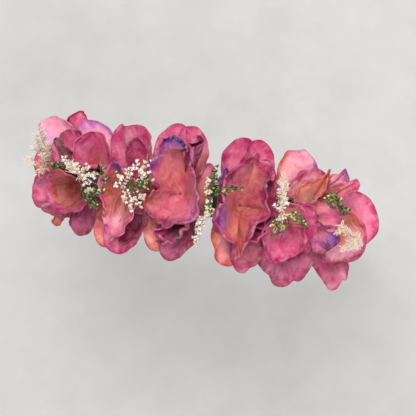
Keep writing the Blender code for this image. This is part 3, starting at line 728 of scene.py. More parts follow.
# bloom_2, at the left end, below
petal(2, "outer", ("orange", "peach", "orange"),
      [(-75, -15, 11), (-77.5, -22, 10), (-78.6, -24.5, 9.5), (-77, -26.4, 9.3),
       (-74.3, -25, 9.7), (-72, -19, 11)], bow=0.7,
      tints=[(0.25, 0.7, 0.15, 0.15, "violet", 0.8)])
petal(2, "outer", ("mauve", "mauve", "crimson"),
      [(-67, -10, 64), (-68, -17, 62), (-70.2, -23.5, 60), (-64, -28.8, 61), (-57.2, -22, 63),
       (-57, -14, 65), (-60, -7, 66)], level=True, bow=0.6, ruffle=0.15, crease=0.25,
      lip=0.4, tints=[(0.8, 0.8, 0.2, 0.4, "rose", 0.4)])
petal(2, "outer", ("rose", "rose", "magenta"),
      [(-74, 3.4, 12.5), (-82, 1, 11.5), (-89.5, -4, 11), (-90.7, -10, 11), (-89.2, -16.5, 11),
       (-86.3, -19.3, 11.3), (-80, -18, 12)], bow=0.6,
      tints=[(0.3, 0.95, 0.15, 0.2, "orange", 0.5), (0.7, 0.8, 0.15, 0.3, "dusty_pink", 0.8)])
petal(2, "outer", ("wine", "crimson", "magenta"),
      [(-86, -15.5, 13), (-84.5, -19.5, 12.7), (-79.5, -21.5, 12.5), (-75, -22, 12.5),
       (-71, -21, 13), (-67.3, -20, 13.5), (-66, -13, 14)], bow=0.7, ruffle=0.3,
      tints=[(0.3, 0.9, 0.15, 0.2, "rose", 0.7), (0.65, 0.9, 0.12, 0.2, "rose", 0.7)])
petal(2, "outer", ("crimson", "magenta", "rose"),
      [(-81, 0, 16), (-77.5, 2.4, 16.5), (-72.5, 3.2, 17), (-68, 1, 17), (-64.5, -3, 17),
       (-63.5, -8, 16.5)], bow=0.8, tints=[(0.3, 0.9, 0.2, 0.2, "dusty_pink", 0.5)])
petal(2, "inner", ("mauve", "dusty_pink", "pale_pink"),
      [(-84.5, -4.5, 19), (-88.3, -7.5, 17.5), (-88.3, -13, 17), (-86.4, -17, 17),
       (-82, -17.5, 18)], bow=1.6, root=4.8, lip=0.9, tints=[(0.4, 0.9, 0.3, 0.3, "lilac", 0.45)])
# bloom_1, at the left end, above
petal(1, "outer", ("rust", "rose", "dusty_pink"),
      [(-80, 10, 13), (-89, 10, 12.5), (-92.2, 5, 12.3), (-91.5, -0.5, 12.3), (-87.5, -4, 12.5),
       (-80, -4, 13)], bow=0.6, tints=[(0.75, 0.9, 0.2, 0.3, "orange", 0.6)])
petal(1, "outer", ("peach", "pale_pink", "lilac"),
      [(-76, 18, 60), (-74, 24, 60), (-71, 26.7, 60), (-64.5, 26.8, 61), (-60, 25, 62),
       (-57, 20.5, 63), (-55.3, 14, 64), (-52.5, 8.7, 65), (-52, 4, 66)], level=True, bow=1.1,
      ruffle=0.15, tints=[(0.75, 0.8, 0.12, 0.4, "peach", 0.7), (0.2, 0.9, 0.1, 0.2, "rose", 0.4)])
petal(1, "outer", ("dusty_pink", "pale_pink", "pale_pink"),
      [(-80, 8, 64), (-88.5, 11.5, 63), (-91.6, 16.5, 62), (-93.5, 20, 61),
       (-90.3, 24, 61), (-86, 25.8, 61), (-81, 24.4, 62), (-76.3, 21.3, 63),
       (-70, 15, 64)], level=True, bow=1.1, ruffle=0.12, crease=0.2,
      spots=[(-89.5, 14.5, 3.5, 4, "lilac", 1.0), (-77, 20, 2, 3, "peach", 0.7)])
petal(1, "outer", ("crimson", "magenta", "magenta"),
      [(-76.5, 17, 58), (-78.6, 22.5, 57), (-79.5, 26.2, 57), (-77.7, 28.7, 57),
       (-73.5, 30.3, 57), (-71.3, 27, 57), (-70.5, 20, 58)], level=True, lip=0.8, turn=-150,
      ruffle=0.12, crease=0.15,
      tints=[(0.2, 0.75, 0.12, 0.15, "orange", 0.8), (0.5, 0.9, 0.2, 0.2, "rose", 0.5)])
# painted shadow: the wine patch on this rose petal stands for the shadow that falls on it
petal(1, "inner", ("crimson", "rose", "dusty_pink"),
      [(-79, 3, 67), (-83.2, 5.5, 67), (-84.2, 9, 67), (-84.8, 13, 67), (-81, 13.5, 67),
       (-77, 9, 67)], level=True, root=3.6, lip=0.6, crease=0.1, ruffle=0.15,
      tints=[(0.8, 0.8, 0.12, 0.4, "wine", 0.6)])
petal(1, "inner", ("mauve", "crimson", "wine"),
      [(-78, 4, 69), (-81, 9, 69), (-84.5, 14.2, 69), (-81.3, 16, 69), (-77, 15, 69),
       (-73.5, 11.2, 69), (-72.3, 5.5, 69)], level=True, root=4.0, lip=0.5, crease=0.12,
      ruffle=0.15)
petal(1, "inner", ("crimson", "rose", "crimson"),
      [(-77.5, 11, 72), (-81.9, 16.2, 72), (-79.4, 20.6, 72), (-76, 20.9, 72),
       (-72.2, 19.6, 72), (-70, 11, 72)], level=True, root=4.4, lip=0.5, crease=0.12,
      ruffle=0.15, tints=[(0.5, 0.8, 0.4, 0.3, "magenta", 0.6)])
petal(1, "inner", ("salmon", "rose", "magenta"),
      [(-62, 4.5, 76), (-69, 5.8, 78), (-73.4, 6.6, 80), (-74.4, 11, 81), (-75.1, 15.3, 81),
       (-71, 19.9, 81), (-67.5, 22.2, 80), (-62.5, 21.2, 80), (-60.4, 17.5, 80),
       (-57.5, 11.5, 79), (-55.5, 6.5, 78), (-57, 3, 77)], level=True, root=9.0, bow=1.1,
      crease=0.3, lip=0.7, ruffle=0.15,
      folds=(1.0, 2.0), tints=[(0.3, 0.75, 0.08, 0.4, "dusty_pink", 0.9),
                               (0.42, 0.75, 0.03, 0.5, "mauve", 0.6),
                               (0.85, 0.8, 0.1, 0.3, "salmon", 0.8)])

# bloom_6, right of the middle, below
petal(6, "outer", ("rosewood", "mauve", "rose"),
      [(30, 3, 13.5), (26, 0, 13.3), (24.2, -6, 13), (23.2, -13, 12.6), (23.7, -20, 12.2),
       (27, -25, 12)], bow=0.6, tints=[(0.6, 0.8, 0.2, 0.3, "dusty_pink", 0.4)])
petal(6, "outer", ("wine", "mauve", "crimson"),
      [(25, -14, 12.8), (24, -21, 12.3), (24.5, -25.5, 12), (27.5, -28.6, 11.6), (30.5, -30, 11.5),
       (32.5, -33.4, 11), (36.5, -34.8, 11), (40.5, -33.2, 11), (42.5, -30.8, 11.3),
       (46, -30.1, 11.5), (49, -24, 12), (50.5, -16, 12.8), (48, -8, 13.3)], bow=0.6,
      crease=0.6, tints=[(0.5, 0.6, 0.3, 0.3, "crimson", 0.5), (0.8, 0.7, 0.12, 0.3, "rose", 0.5),
                         (0.5, 0.97, 0.2, 0.1, "magenta", 0.5)])
# painted shade: the wine heart and the crimson patch on this band stand for the shade on its inner
# side
petal(6, "inner", ("wine", "magenta", "magenta"),
      [(36, 5, 17.5), (39.5, 6.7, 17.5), (43.5, 6, 17.2), (46.3, 3, 17), (48, -3, 16.5),
       (48.2, -10, 16), (46.6, -15.5, 15.5), (42.5, -19.6, 15), (37, -21.6, 15),
       (33, -20, 15.5)], bow=0.8, lip=0.9,
      tints=[(0.75, 0.8, 0.15, 0.3, "crimson", 0.9), (0.25, 0.85, 0.1, 0.2, "rose", 0.8)])
petal(6, "inner", ("salmon", "peach", "dusty_pink"),
      [(28.5, -2, 19.5), (30.5, 2.5, 20), (33.5, 4.9, 20.4), (37.5, 5.7, 20.8), (40.8, 3.5, 21.3),
       (42.6, -1.5, 21.8), (42.5, -5, 22)], bow=1.0, lip=0.6, crease=0.3)
petal(6, "inner", ("mauve", "rose", "magenta"),
      [(27, -4, 20.5), (24.6, -8, 20), (24.5, -11.5, 19.6), (25.6, -16, 19.2), (27.6, -20.7, 18.8),
       (30.6, -23.1, 18.6), (34.5, -22.6, 19), (40, -19, 19.6), (44, -13.7, 20.2),
       (43.4, -8, 21), (42.4, -3, 22)], bow=1.0, crease=0.35, lip=0.8, folds=(1.0, 3.0),
      tints=[(0.2, 0.6, 0.15, 0.3, "mauve", 0.7), (0.8, 0.85, 0.15, 0.3, "dusty_pink", 0.5)])

# bloom_7, right of the middle, above
petal(7, "outer", ("peach", "pale_pink", "pale_pink"),
      [(31, 8, 84), (26.5, 13, 82), (25.2, 20, 80), (26.4, 27, 79), (28, 30.6, 79),
       (33.8, 31.5, 78), (36, 32.6, 78), (40, 29.8, 78), (43.9, 24.3, 79), (45, 15, 80)],
       level=True,
      bow=0.7, ruffle=0.3, crease=0.3,
      spots=[(26.5, 26, 2.2, 6, "orange", 0.95), (25.5, 18, 2, 5, "orange", 0.8),
             (43, 25.5, 2.5, 4, "violet", 0.75), (33, 22, 5, 6, "peach", 0.4)])
petal(7, "outer", ("rosewood", "dusty_pink", "rose"),
      [(44, 17, 12.5), (50, 21, 12), (55, 19, 12), (57, 13, 12.3), (54, 8, 13)], bow=0.7)
petal(7, "inner", ("peach", "pale_pink", "rose"),
      [(29.3, 9.5, 88), (31, 14.5, 87), (35, 18.7, 86), (40, 23.1, 85), (44, 24.4, 84),
       (48.5, 22, 83), (51, 15, 83)], level=True, bow=0.8, lip=0.9, turn=150, crease=0.3,
      tints=[(0.3, 0.97, 0.3, 0.06, "crimson", 0.6), (0.15, 0.6, 0.2, 0.4, "peach", 0.6)])
petal(7, "inner", ("dusty_pink", "pale_pink", "dusty_pink"),
      [(46, 11, 82), (49.5, 18, 80), (52, 23, 79), (55.5, 24.2, 79), (56.8, 27.4, 78),
       (59.7, 23, 78), (58.3, 19.5, 79), (53, 13, 81)], level=True, bow=0.9, lip=0.6,
      tints=[(0.62, 1.0, 0.10, 0.14, "violet", 0.95)])
petal(7, "inner", ("orange", "peach", "dusty_pink"),
      [(47, 9.5, 85), (50, 14.5, 84), (54, 18.7, 83), (58, 20.2, 82), (61.5, 20.7, 81),
       (62.7, 23.5, 80), (65, 21.5, 80), (63.8, 18.7, 81), (58.5, 14.5, 83), (53, 10, 85)],
       level=True, bow=0.9, lip=0.6,
      tints=[(0.65, 0.9, 0.2, 0.3, "rose", 0.8), (0.2, 0.8, 0.15, 0.3, "rust", 0.5)])
petal(7, "inner", ("peach", "peach", "orange"),
      [(36, 6.5, 93), (36, 10.5, 92), (38.3, 15.3, 91), (43, 18.6, 89), (47.4, 20.8, 88),
       (50.3, 25.7, 87), (50.2, 20, 88), (48.4, 14, 89), (46, 9, 91)], level=True, bow=0.9,
       lip=0.6,
      # painted highlight: the cream spot at (42, 10) stands for a bright patch of light showing
      # through the petals
      crease=0.35, spots=[(42, 10, 4, 2.5, "cream", 0.8), (38, 12, 3, 5, "peach", 0.8)])

# bloom_8, at the right end
petal(8, "outer", ("wine", "magenta", "rose"),
      [(49, -11, 72), (50, -19.5, 70), (53, -24, 68), (57, -28, 66), (61, -31.4, 65),
       (64, -30.4, 64), (66, -26, 64), (67.8, -25.4, 64), (68, -21, 66), (66, -13, 68)],
       level=True, bow=1.0, ruffle=0.25,
      tints=[(0.75, 0.85, 0.15, 0.25, "pale_pink", 0.7), (0.5, 0.8, 0.15, 0.3, "crimson", 0.6),
             (0.2, 0.7, 0.12, 0.3, "mauve", 0.7)])
petal(8, "outer", ("peach", "dusty_pink", "magenta"),
      [(50, 12, 73), (55, 14.2, 71), (61, 16.7, 69), (67, 17, 67), (73, 13.8, 65),
       (76.6, 8, 63), (78.6, 2, 62), (77, -2.5, 63), (73, -8, 65)], level=True, bow=0.6,
      crease=0.35, tints=[(0.4, 0.8, 0.2, 0.3, "rose", 0.3), (0.75, 0.85, 0.1, 0.2, "magenta",
      0.4)])
petal(8, "inner", ("orange", "pale_pink", "rose"),
      [(55, 6.5, 78), (60, 6.6, 77), (65, 6, 76), (69.5, 2.5, 74), (72.3, -2, 72),
       (73.4, -8, 71), (71.5, -13, 71), (66, -16.6, 72), (60, -19.8, 74), (55.3, -18.5, 75),
       (52, -12, 77)], level=True, bow=0.8, crease=0.35, lip=0.9,
      tints=[(0.2, 0.8, 0.12, 0.25, "ochre", 0.9), (0.75, 1.0, 0.2, 0.12, "crimson", 0.8),
             (0.35, 0.8, 0.12, 0.3, "peach", 0.6)],
      spots=[(65, 3.5, 4, 2.8, "ochre", 0.9)])
petal(8, "inner", ("rosewood", "mauve", "crimson"),
      [(48, 0, 17.5), (53, -1.8, 19), (57, -3, 19.7), (60, -5.5, 19.8), (60.7, -8, 19.7),
       (57.8, -11.3, 19.3), (53.5, -14.3, 18.8), (50, -15.3, 18), (47, -12, 17)],
      foot=(46.5, -4, 12), bow=0.9, lip=0.8, waist=1.0,
      spots=[(58.5, -7, 4, 3.5, "violet", 1.0), (56, -10.5, 4.5, 2, "indigo", 0.8)])
petal(8, "inner", ("rosewood", "dusty_pink", "dusty_pink"),
      [(44, 4, 18), (45, 9.3, 18), (49, 10, 18.5), (54, 8.7, 19), (58.3, 6, 19.5),
       (60.5, 2.7, 19.8), (59.7, -0.5, 20), (57, -2.4, 20), (50, -2.5, 18.5)],
      foot=(45.5, 1, 13), bow=0.9, lip=0.9, waist=1.0,
      spots=[(59.3, 1.5, 2.5, 4, "deep_magenta", 1.0), (48, 9, 4, 3, "peach", 0.7)])


# the cups of the four blooms that face up, each grown together from its inner petals
petal(4, "inner", ("salmon", "salmon", "mauve"),
      [(-25.5, 26.4, 27.3), (-29.5, 25.2, 27.3), (-32.5, 22.5, 27), (-34.3, 18, 26),
       (-34.2, 14, 25.7), (-35.6, 11, 25.5), (-35.4, 7, 25), (-33.5, 3.6, 25),
       (-31.2, 1.2, 25.5), (-33.3, -2.6, 25), (-35, -7, 25), (-33.6, -10.8, 24),
       (-29, -14.2, 23), (-25.7, -15.6, 22.6), (-24, -17, 22), (-22, -15.3, 22.5),
       (-19, -13.8, 24), (-14.5, -12.6, 24.5), (-10.6, -9.5, 24), (-10.4, -4, 24.2),
       (-11.5, 1, 25.2), (-13.5, 5, 26.3), (-15.3, 10, 26.8), (-16.6, 15, 26.7),
       (-17.4, 19.5, 26.8), (-19.3, 23.2, 27), (-22, 25.2, 27)],
      cup=True, bow=1.2, root=8.0, crease=0.4, folds=(3, 7), ruffle=0.35, lip=0.7, turn=150,
      # painted shade: the crimson band at (-27, 22.3), just under the rim, stands for the shade
      # under the violet lip that folds over the cup
      spots=[(-27, 25.5, 5.5, 1.8, "mauve", 1.0), (-34, 17, 2, 3.0, "violet", 0.7),
             (-27, 22.3, 7, 1.5, "crimson", 0.9), (-20, 22, 3, 2.5, "wine", 0.8),
             (-35, 12, 2, 4, "violet", 0.8), (-32.5, -4, 4, 6, "rust", 0.95),
             (-36, -5, 1.3, 7, "orange", 0.8), (-31, 1, 2.5, 1.5, "magenta", 0.7),
             (-28, -15, 8, 1.8, "crimson", 0.8), (-12, -6, 3, 6, "lilac", 0.35),
             (-15.5, 10, 2, 9, "magenta", 0.6), (-22, 12, 4, 7, "orange", 0.35),
             (-25, -7, 5, 5, "dusty_pink", 0.5), (-20, 2, 7, 5, "rosewood", 0.4),
             (-24, 17, 6, 3, "rosewood", 0.5)])
petal(4, "inner", ("deep_magenta", "violet", "indigo"),
      [(-31.5, 19.5, 27), (-32.6, 22.5, 28), (-31, 25.2, 28.6), (-27.8, 26.6, 29),
       (-24.6, 26.2, 29), (-22.6, 24.6, 28.6), (-21.6, 22.2, 28)],
      foot=(-26.5, 20.5, 26.6), bow=0.7, lip=1.0, turn=-170, crease=0.15, ruffle=0.08,
      # painted shade: the wine spot at (-26, 21.5) darkens the underside of the fold as its shadow
      spots=[(-32, 21, 2, 2, "magenta", 0.5), (-26, 21.5, 4, 1.2, "wine", 0.9)])
petal(5, "inner", ("rust", "salmon", "magenta"),
      [(13.5, 27.3, 24.5), (11.8, 25.6, 25), (9.3, 21.8, 25.3), (6, 18.3, 25.3),
       (3, 15, 25.3), (1.3, 11.5, 25.3), (1.2, 7.5, 25.5), (2, 2, 25.8), (1.6, -1, 25.5),
       (1, -5, 25), (1, -9, 24.5), (2.8, -12.8, 24), (6, -15.8, 23.5), (9.5, -17.6, 23),
       (12.3, -17.8, 22.5), (13.4, -20.5, 21.7), (14.7, -24.6, 20.8), (15.6, -20, 22),
       (17, -13.5, 24), (17.6, -10, 24.5), (18.8, -6.5, 25), (21.5, -4.5, 25),
       (24.5, -2, 24.7), (25, 0.4, 24.7), (23, 2, 25.2), (21.2, 4.2, 25.6), (21.7, 7, 25.6),
       (20.2, 10.5, 25.6), (20.6, 13.3, 25.5), (22.5, 17, 25.2), (21.5, 20.5, 25.3),
       (19, 23.1, 25.5), (15, 23.7, 25)],
      cup=True, bow=1.25, root=8.0, crease=0.35, folds=(3, 7), ruffle=0.35, lip=0.8, turn=150,
      spots=[(10, 22, 3, 4, "crimson", 0.9), (4, 14, 4, 3.5, "crimson", 0.85),
             (1.5, 8, 1.8, 4, "deep_magenta", 0.8), (2.5, -7, 2.6, 6, "violet", 1.0),
             (5, -9, 2, 5, "violet", 0.5), (8, -15, 4, 2.5, "dusty_pink", 0.8),
             (11, -12, 4.2, 7, "ochre", 0.95), (14, -20, 2, 5, "orange", 0.7),
             (13.5, 16, 2, 5, "peach", 0.6), (21, 12, 1.6, 9, "wine", 0.75),
             (22, -3, 3, 3, "crimson", 0.6), (17.5, -12, 1.5, 5, "crimson", 0.7),
             (9, 4, 5, 8, "salmon", 0.5), (15, 5, 3, 8, "rosewood", 0.5)])
petal(3, "inner", ("rust", "rust", "dusty_pink"),
      [(-45.2, 2.6, 26.8), (-47.5, 4, 27), (-50, 6.7, 27), (-51.8, 8.4, 26.8),
       (-54.6, 8.2, 26.3), (-55.8, 5.8, 26), (-57.2, 2.2, 25.8), (-59, -1, 25.5),
       (-58.3, -5.8, 25), (-56, -9, 24.7), (-54.4, -13, 24), (-53.3, -18, 22.5),
       (-51.5, -23, 21), (-48.5, -25.4, 20.2), (-45, -25, 20.5), (-43.3, -20, 22),
       (-41, -15, 23.6), (-39.8, -10, 24.5), (-39.8, -5, 25), (-41.3, -1, 25.5),
       (-43, 1.5, 26.3)],
      cup=True, bow=1.05, root=9.0, crease=0.25, folds=(3, 6), ruffle=0.3, lip=0.7, turn=150,
      spots=[(-52.5, 7.5, 3, 2, "violet", 1.0), (-51, 3.5, 6, 1.6, "orange", 0.9),
             (-58, -3, 1.8, 5, "dusty_pink", 0.9), (-48, -19, 5, 6, "pale_pink", 0.85),
             (-49, -8, 5, 6, "rust", 0.6), (-53, -13, 2, 5, "orange", 0.5),
             (-41, -9, 1.5, 8, "rose", 0.6), (-45.5, 2.5, 2.5, 1.5, "peach", 0.7),
             (-47, -5, 4, 6, "peach", 0.6)])
petal(2, "inner", ("rust", "rust", "rose"),
      [(-83, -2.2, 24), (-85.2, -6, 23), (-84.5, -9.5, 22.7), (-83.3, -13, 22.3),
       (-81, -16, 22), (-77, -18, 21.7), (-73.5, -19, 21.4), (-70, -18.5, 21.7),
       (-67, -16.3, 22.5), (-65, -12, 23), (-64.8, -8, 23.5), (-66.8, -4.5, 24.1),
       (-70.5, -2.4, 24.6), (-75.5, -0.6, 24.7), (-79.5, 0.2, 24.5)],
      cup=True, bow=1.4, root=7.5, crease=0.4, folds=(2, 5), ruffle=0.25, lip=0.5, turn=140,
      spots=[(-79, -1, 4, 2, "orange", 0.6), (-70, -2.5, 4, 1.6, "crimson", 0.8),
             (-75, -19, 9, 2, "magenta", 0.8), (-85, -9, 1.8, 5, "dusty_pink", 0.8),
             (-74, -11, 5, 3, "salmon", 0.5), (-65.5, -11, 1.8, 5, "crimson", 0.6)])


def sepals(bloom, rng):
    """The green cup under a bloom, with five pointed sepals up its side."""
    cloth = Cloth()
    around = np.linspace(0.0, math.tau, 24, endpoint=False)
    height = np.array([0.0, 0.0, 0.5, 1.6, 3.0, 4.2, 5.0, 5.1, 4.9])
    radius = np.array([0.1, 1.9, 2.2, 2.6, 3.2, 3.9, 4.2, 3.9, 3.0])
    ridge = 1.0 + 0.04 * np.cos(around * 10)
    x = np.outer(radius, np.cos(around) * ridge)
    y = np.outer(radius, np.sin(around) * ridge)
    z = np.outer(height, np.ones(24))
    cloth.add(bloom.local(x, y, z), np.stack([x, z], -1), np.full((9, 24, 3), 0.3), closed=True)
    for k in range(5):
        turn = math.tau * (k + 0.2 * rng.uniform(-1, 1)) / 5
        along = np.linspace(0.0, 1.0, 12)[:, None]
        across = np.linspace(-1.0, 1.0, 9)[None, :]
        wide = 2.3 * np.sin(math.pi * (0.22 + 0.78 * along)) ** 0.8
        reach = 2.5 + 4.8 * along ** 1.5 + 0.35 * np.abs(across)
        up = 0.8 + 7.2 * along ** 0.9
        side = across * wide
        x = reach * math.cos(turn) - side * math.sin(turn)
        y = reach * math.sin(turn) + side * math.cos(turn)
        cloth.add(bloom.local(x, y, up + 0 * across),
                  np.stack([side, along * 8 + 0 * across], -1), np.full((12, 9, 3), 0.3))
    return cloth.build(bloom.name + "_sepals", SEPAL_GREEN, 0.35)


def heart_knot(bloom, rng):
    """A pleated knot of petal cloth at the bottom of the cup."""
    cloth = Cloth()
    around = np.linspace(0.0, math.tau, 60, endpoint=False)
    rise = np.linspace(0.0, 1.0, 10)
    radius = np.interp(rise, [0.0, 0.25, 0.6, 0.85, 1.0], [0.6, 1.1, 1.2, 0.8, 0.03])
    height = np.interp(rise, [0.0, 0.25, 0.6, 0.85, 1.0], [5.4, 6.0, 6.7, 7.1, 7.0])
    twist = around[None, :] + 1.4 * rise[:, None]
    pleat = 1.0 + 0.10 * np.sin(9 * twist + rng.uniform(0, 6)) * np.sin(math.pi * rise)[:, None]
    x = radius[:, None] * pleat * np.cos(around)
    y = radius[:, None] * pleat * np.sin(around)
    z = height[:, None] + 0.1 * np.sin(9 * twist) * rise[:, None]
    dye = INKS["rosewood"] * (1 - rise[:, None, None]) + INKS["salmon"] * rise[:, None, None]
    cloth.add(bloom.local(x, y, z), np.stack([around + 0 * z, z], -1), dye + 0 * x[..., None],
              closed=True)
    return cloth.build(bloom.name + "_heart", INNER_CLOTH)


for number in range(1, BLOOM_COUNT + 1):
    bloom = Bloom(number)
    for layer, material in (("outer", OUTER_CLOTH), ("inner", INNER_CLOTH)):
        rng = np.random.default_rng(number * 10 + (0 if layer == "outer" else 5))
        cloth = Cloth()
        for dye, rim, shape in PETALS[number, layer]:
            petal_surface(cloth, bloom, rng, dye, rim, **{
                "root": 3.4 if layer == "outer" else 6.0, **shape})
        piece = cloth.build(f"{bloom.name}_{layer}_cloth", material, 0.3)
        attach(piece, "crown")
        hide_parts(f"{bloom.name}_{layer}_petals")
    rng = np.random.default_rng(number)
    for piece, node, slot in ((sepals(bloom, rng), "_calyx", "calyx"),
                              (heart_knot(bloom, rng), "_pin", "pin")):
        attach(piece, "crown")
        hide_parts(bloom.name + node)


# ---------------------------------------------------------------- band

HEAD = 75.0             # mm from the head's middle to the liner
BLOOM_RING = 80.8       # mm from the head's middle to the line that stations are measured on
ARM_TURN = math.radians(98.0)
ARC_END = ARM_TURN * BLOOM_RING
ARM_END = ARC_END + 62.0
LINER_REACH, FELT_REACH = 84.0, 88.0
CAP_DEPTH = 2.0         # mm of the arm that its tip cap covers
WRAP_PITCH = 5.2        # mm between turns of the ribbon


def band_point(along, side, height):
    """A point by its distance along the band, its side and its height over the head."""
    along, side, height = np.broadcast_arrays(*map(np.asarray, (along, side, height)))
    sign = np.sign(along)
    angle = np.minimum(np.abs(along), ARC_END) / BLOOM_RING
    extra = np.maximum(np.abs(along) - ARC_END, 0.0)
    radius = HEAD + height
    return np.stack([sign * (radius * np.sin(angle) + extra * np.cos(angle)), side + 0 * radius,
                     radius * np.cos(angle) - extra * np.sin(angle)], axis=-1)


def strip_section(low, high, half_width, corner, steps=5):
    """The outline of a strip's cut end as heights and sides, starting on its upper face."""
    centres = [(high - corner, half_width - corner, 0), (low + corner, half_width - corner, 1),
               (low + corner, -half_width + corner, 2), (high - corner, -half_width + corner, 3)]
    outline = []
    for height, side, quarter in centres:
        for k in range(steps + 1):
            turn = math.pi / 2 * (quarter + k / steps)
            outline.append((height + corner * math.cos(turn), side + corner * math.sin(turn)))
        if quarter in (1, 3):
            flat = half_width - corner
            count = max(2, int(half_width * 1.3))
            sign = 1 if quarter == 1 else -1
            level = low if quarter == 1 else high
            outline += [(level, sign * flat * (1 - 2 * k / count)) for k in range(1, count)]
    return np.array(outline)


def strip_piece(name, material, start, stop, section, relief, rows_per_mm=1.2):
    """A strip along the band with closed ends. relief(along, around, height) lifts its skin."""
    count = int(abs(stop - start) * rows_per_mm)
    along = np.linspace(start, stop, count)
    centre_line = section.mean(axis=0)
    step = np.roll(section, -1, axis=0) - section
    around = np.concatenate([[0.0], np.cumsum(np.linalg.norm(step, axis=1))])
    edge = unit(np.roll(section, -1, axis=0) - np.roll(section, 1, axis=0))
    outward = np.stack([-edge[:, 1], edge[:, 0]], axis=1)
    outward *= np.sign((outward * (section - centre_line)).sum(1))[:, None]
    skin = relief(along[:, None], around[None, :-1] / around[-1], section[None, :, 0])
    full = section[None] + outward[None] * skin[..., None]
    inset = [0.0, 0.55, 0.9, 1.0]
    rows = [centre_line + (full[0] - centre_line) * k for k in inset[:-1]] + list(full)
    rows += [centre_line + (full[-1] - centre_line) * k for k in reversed(inset[:-1])]
    push = 0.25 * np.sign(stop - start)
    where = np.concatenate([[start, start, start + 0.3 * push], along,
                            [stop - 0.3 * push, stop, stop]])
    rows = np.array(rows)
    points = band_point(where[:, None], rows[..., 1], rows[..., 0])
    if stop < start:
        points = points[::-1]
        where = where[::-1]
    cloth = Cloth()
    seam = np.concatenate([points, points[:, :1]], axis=1)[:, ::-1]
    uv = np.stack([np.tile(around[::-1], (len(where), 1)),
                   np.repeat(where[:, None], len(around), 1)], -1)
    cloth.add(seam, uv, np.full(seam.shape, 0.5))
    obj = cloth.build(name, material)
    close_up(obj.data)
    return obj


def close_up(mesh):
    """Joins the points that lie on each other and turns every face outwards."""
    bm = bmesh.new()
    bm.from_mesh(mesh)
    bmesh.ops.remove_doubles(bm, verts=bm.verts, dist=0.000002)
    bmesh.ops.dissolve_degenerate(bm, edges=bm.edges, dist=0.000001)
    bmesh.ops.recalc_face_normals(bm, faces=bm.faces)
    bm.to_mesh(mesh)
    bm.free()


felt_wave = wave_sum(np.random.default_rng(3), 5, 0.05, 0.6)
felt_edge = wave_sum(np.random.default_rng(4), 6, 2.0, 9.0)


def felt_relief(along, around, height):
    return 0.05 * felt_wave(along + 9.0 * around) + 0.04 * felt_edge(around + 0.01 * along)


def wound(along, around, height):
    """Ribbon wound round the core: each turn lies half over the one before it."""
    turn = (np.abs(along) / WRAP_PITCH + around) % 1.0
    return 0.17 * (1.0 - turn) * smoothstep(0.0, 0.06, turn) + 0.02 * felt_wave(along + around)


felt = strip_piece("moss_felt_base", MOSS_FELT, -FELT_REACH, FELT_REACH,
                   strip_section(4.6, 5.8, 8.0, 0.4), felt_relief)
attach(felt, "crown")
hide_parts("felt_base")
liner = strip_piece("cream_felt_liner", CREAM_FELT, -LINER_REACH, LINER_REACH,
                    strip_section(0.0, 1.0, 4.5, 0.4), felt_relief)
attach(liner, "crown")
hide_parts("liner")
for side, sign in (("left", -1), ("right", 1)):
    ribbon = strip_piece(f"wound_ribbon_{side}", RIBBON_SATIN, 0.02 * sign,
          sign * (ARM_END - CAP_DEPTH),
                         strip_section(1.3, 4.3, 3.9, 0.9), wound, 2.4)
    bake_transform(ribbon)
    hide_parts(f"ribbon_wrap_{side}", *(["ribbon_wrap"] if side == "left" else []))


def dress(node, material):
    """Gives a CAD piece whose shape is right its real finish."""
    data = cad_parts[node].data
    data.materials.clear()
    data.materials.append(material)


for node in ("band_core", "band_core_left", "band_core_right"):
    dress(node, STRIP_STEEL)
for node in ("tip_cap_left", "tip_cap_right"):
    dress(node, SATIN_BRASS)


# ---------------------------------------------------------------- geometry nodes

def new_tree(name, inputs):
    tree = bpy.data.node_groups.new(name, "GeometryNodeTree")
    tree.interface.new_socket("Geometry", in_out="INPUT", socket_type="NodeSocketGeometry")
    for label, kind in inputs:
        tree.interface.new_socket(label, in_out="INPUT", socket_type=kind)
    tree.interface.new_socket("Geometry", in_out="OUTPUT", socket_type="NodeSocketGeometry")
    return tree, Graph(tree), tree.nodes.new("NodeGroupInput"), tree.nodes.new("NodeGroupOutput")


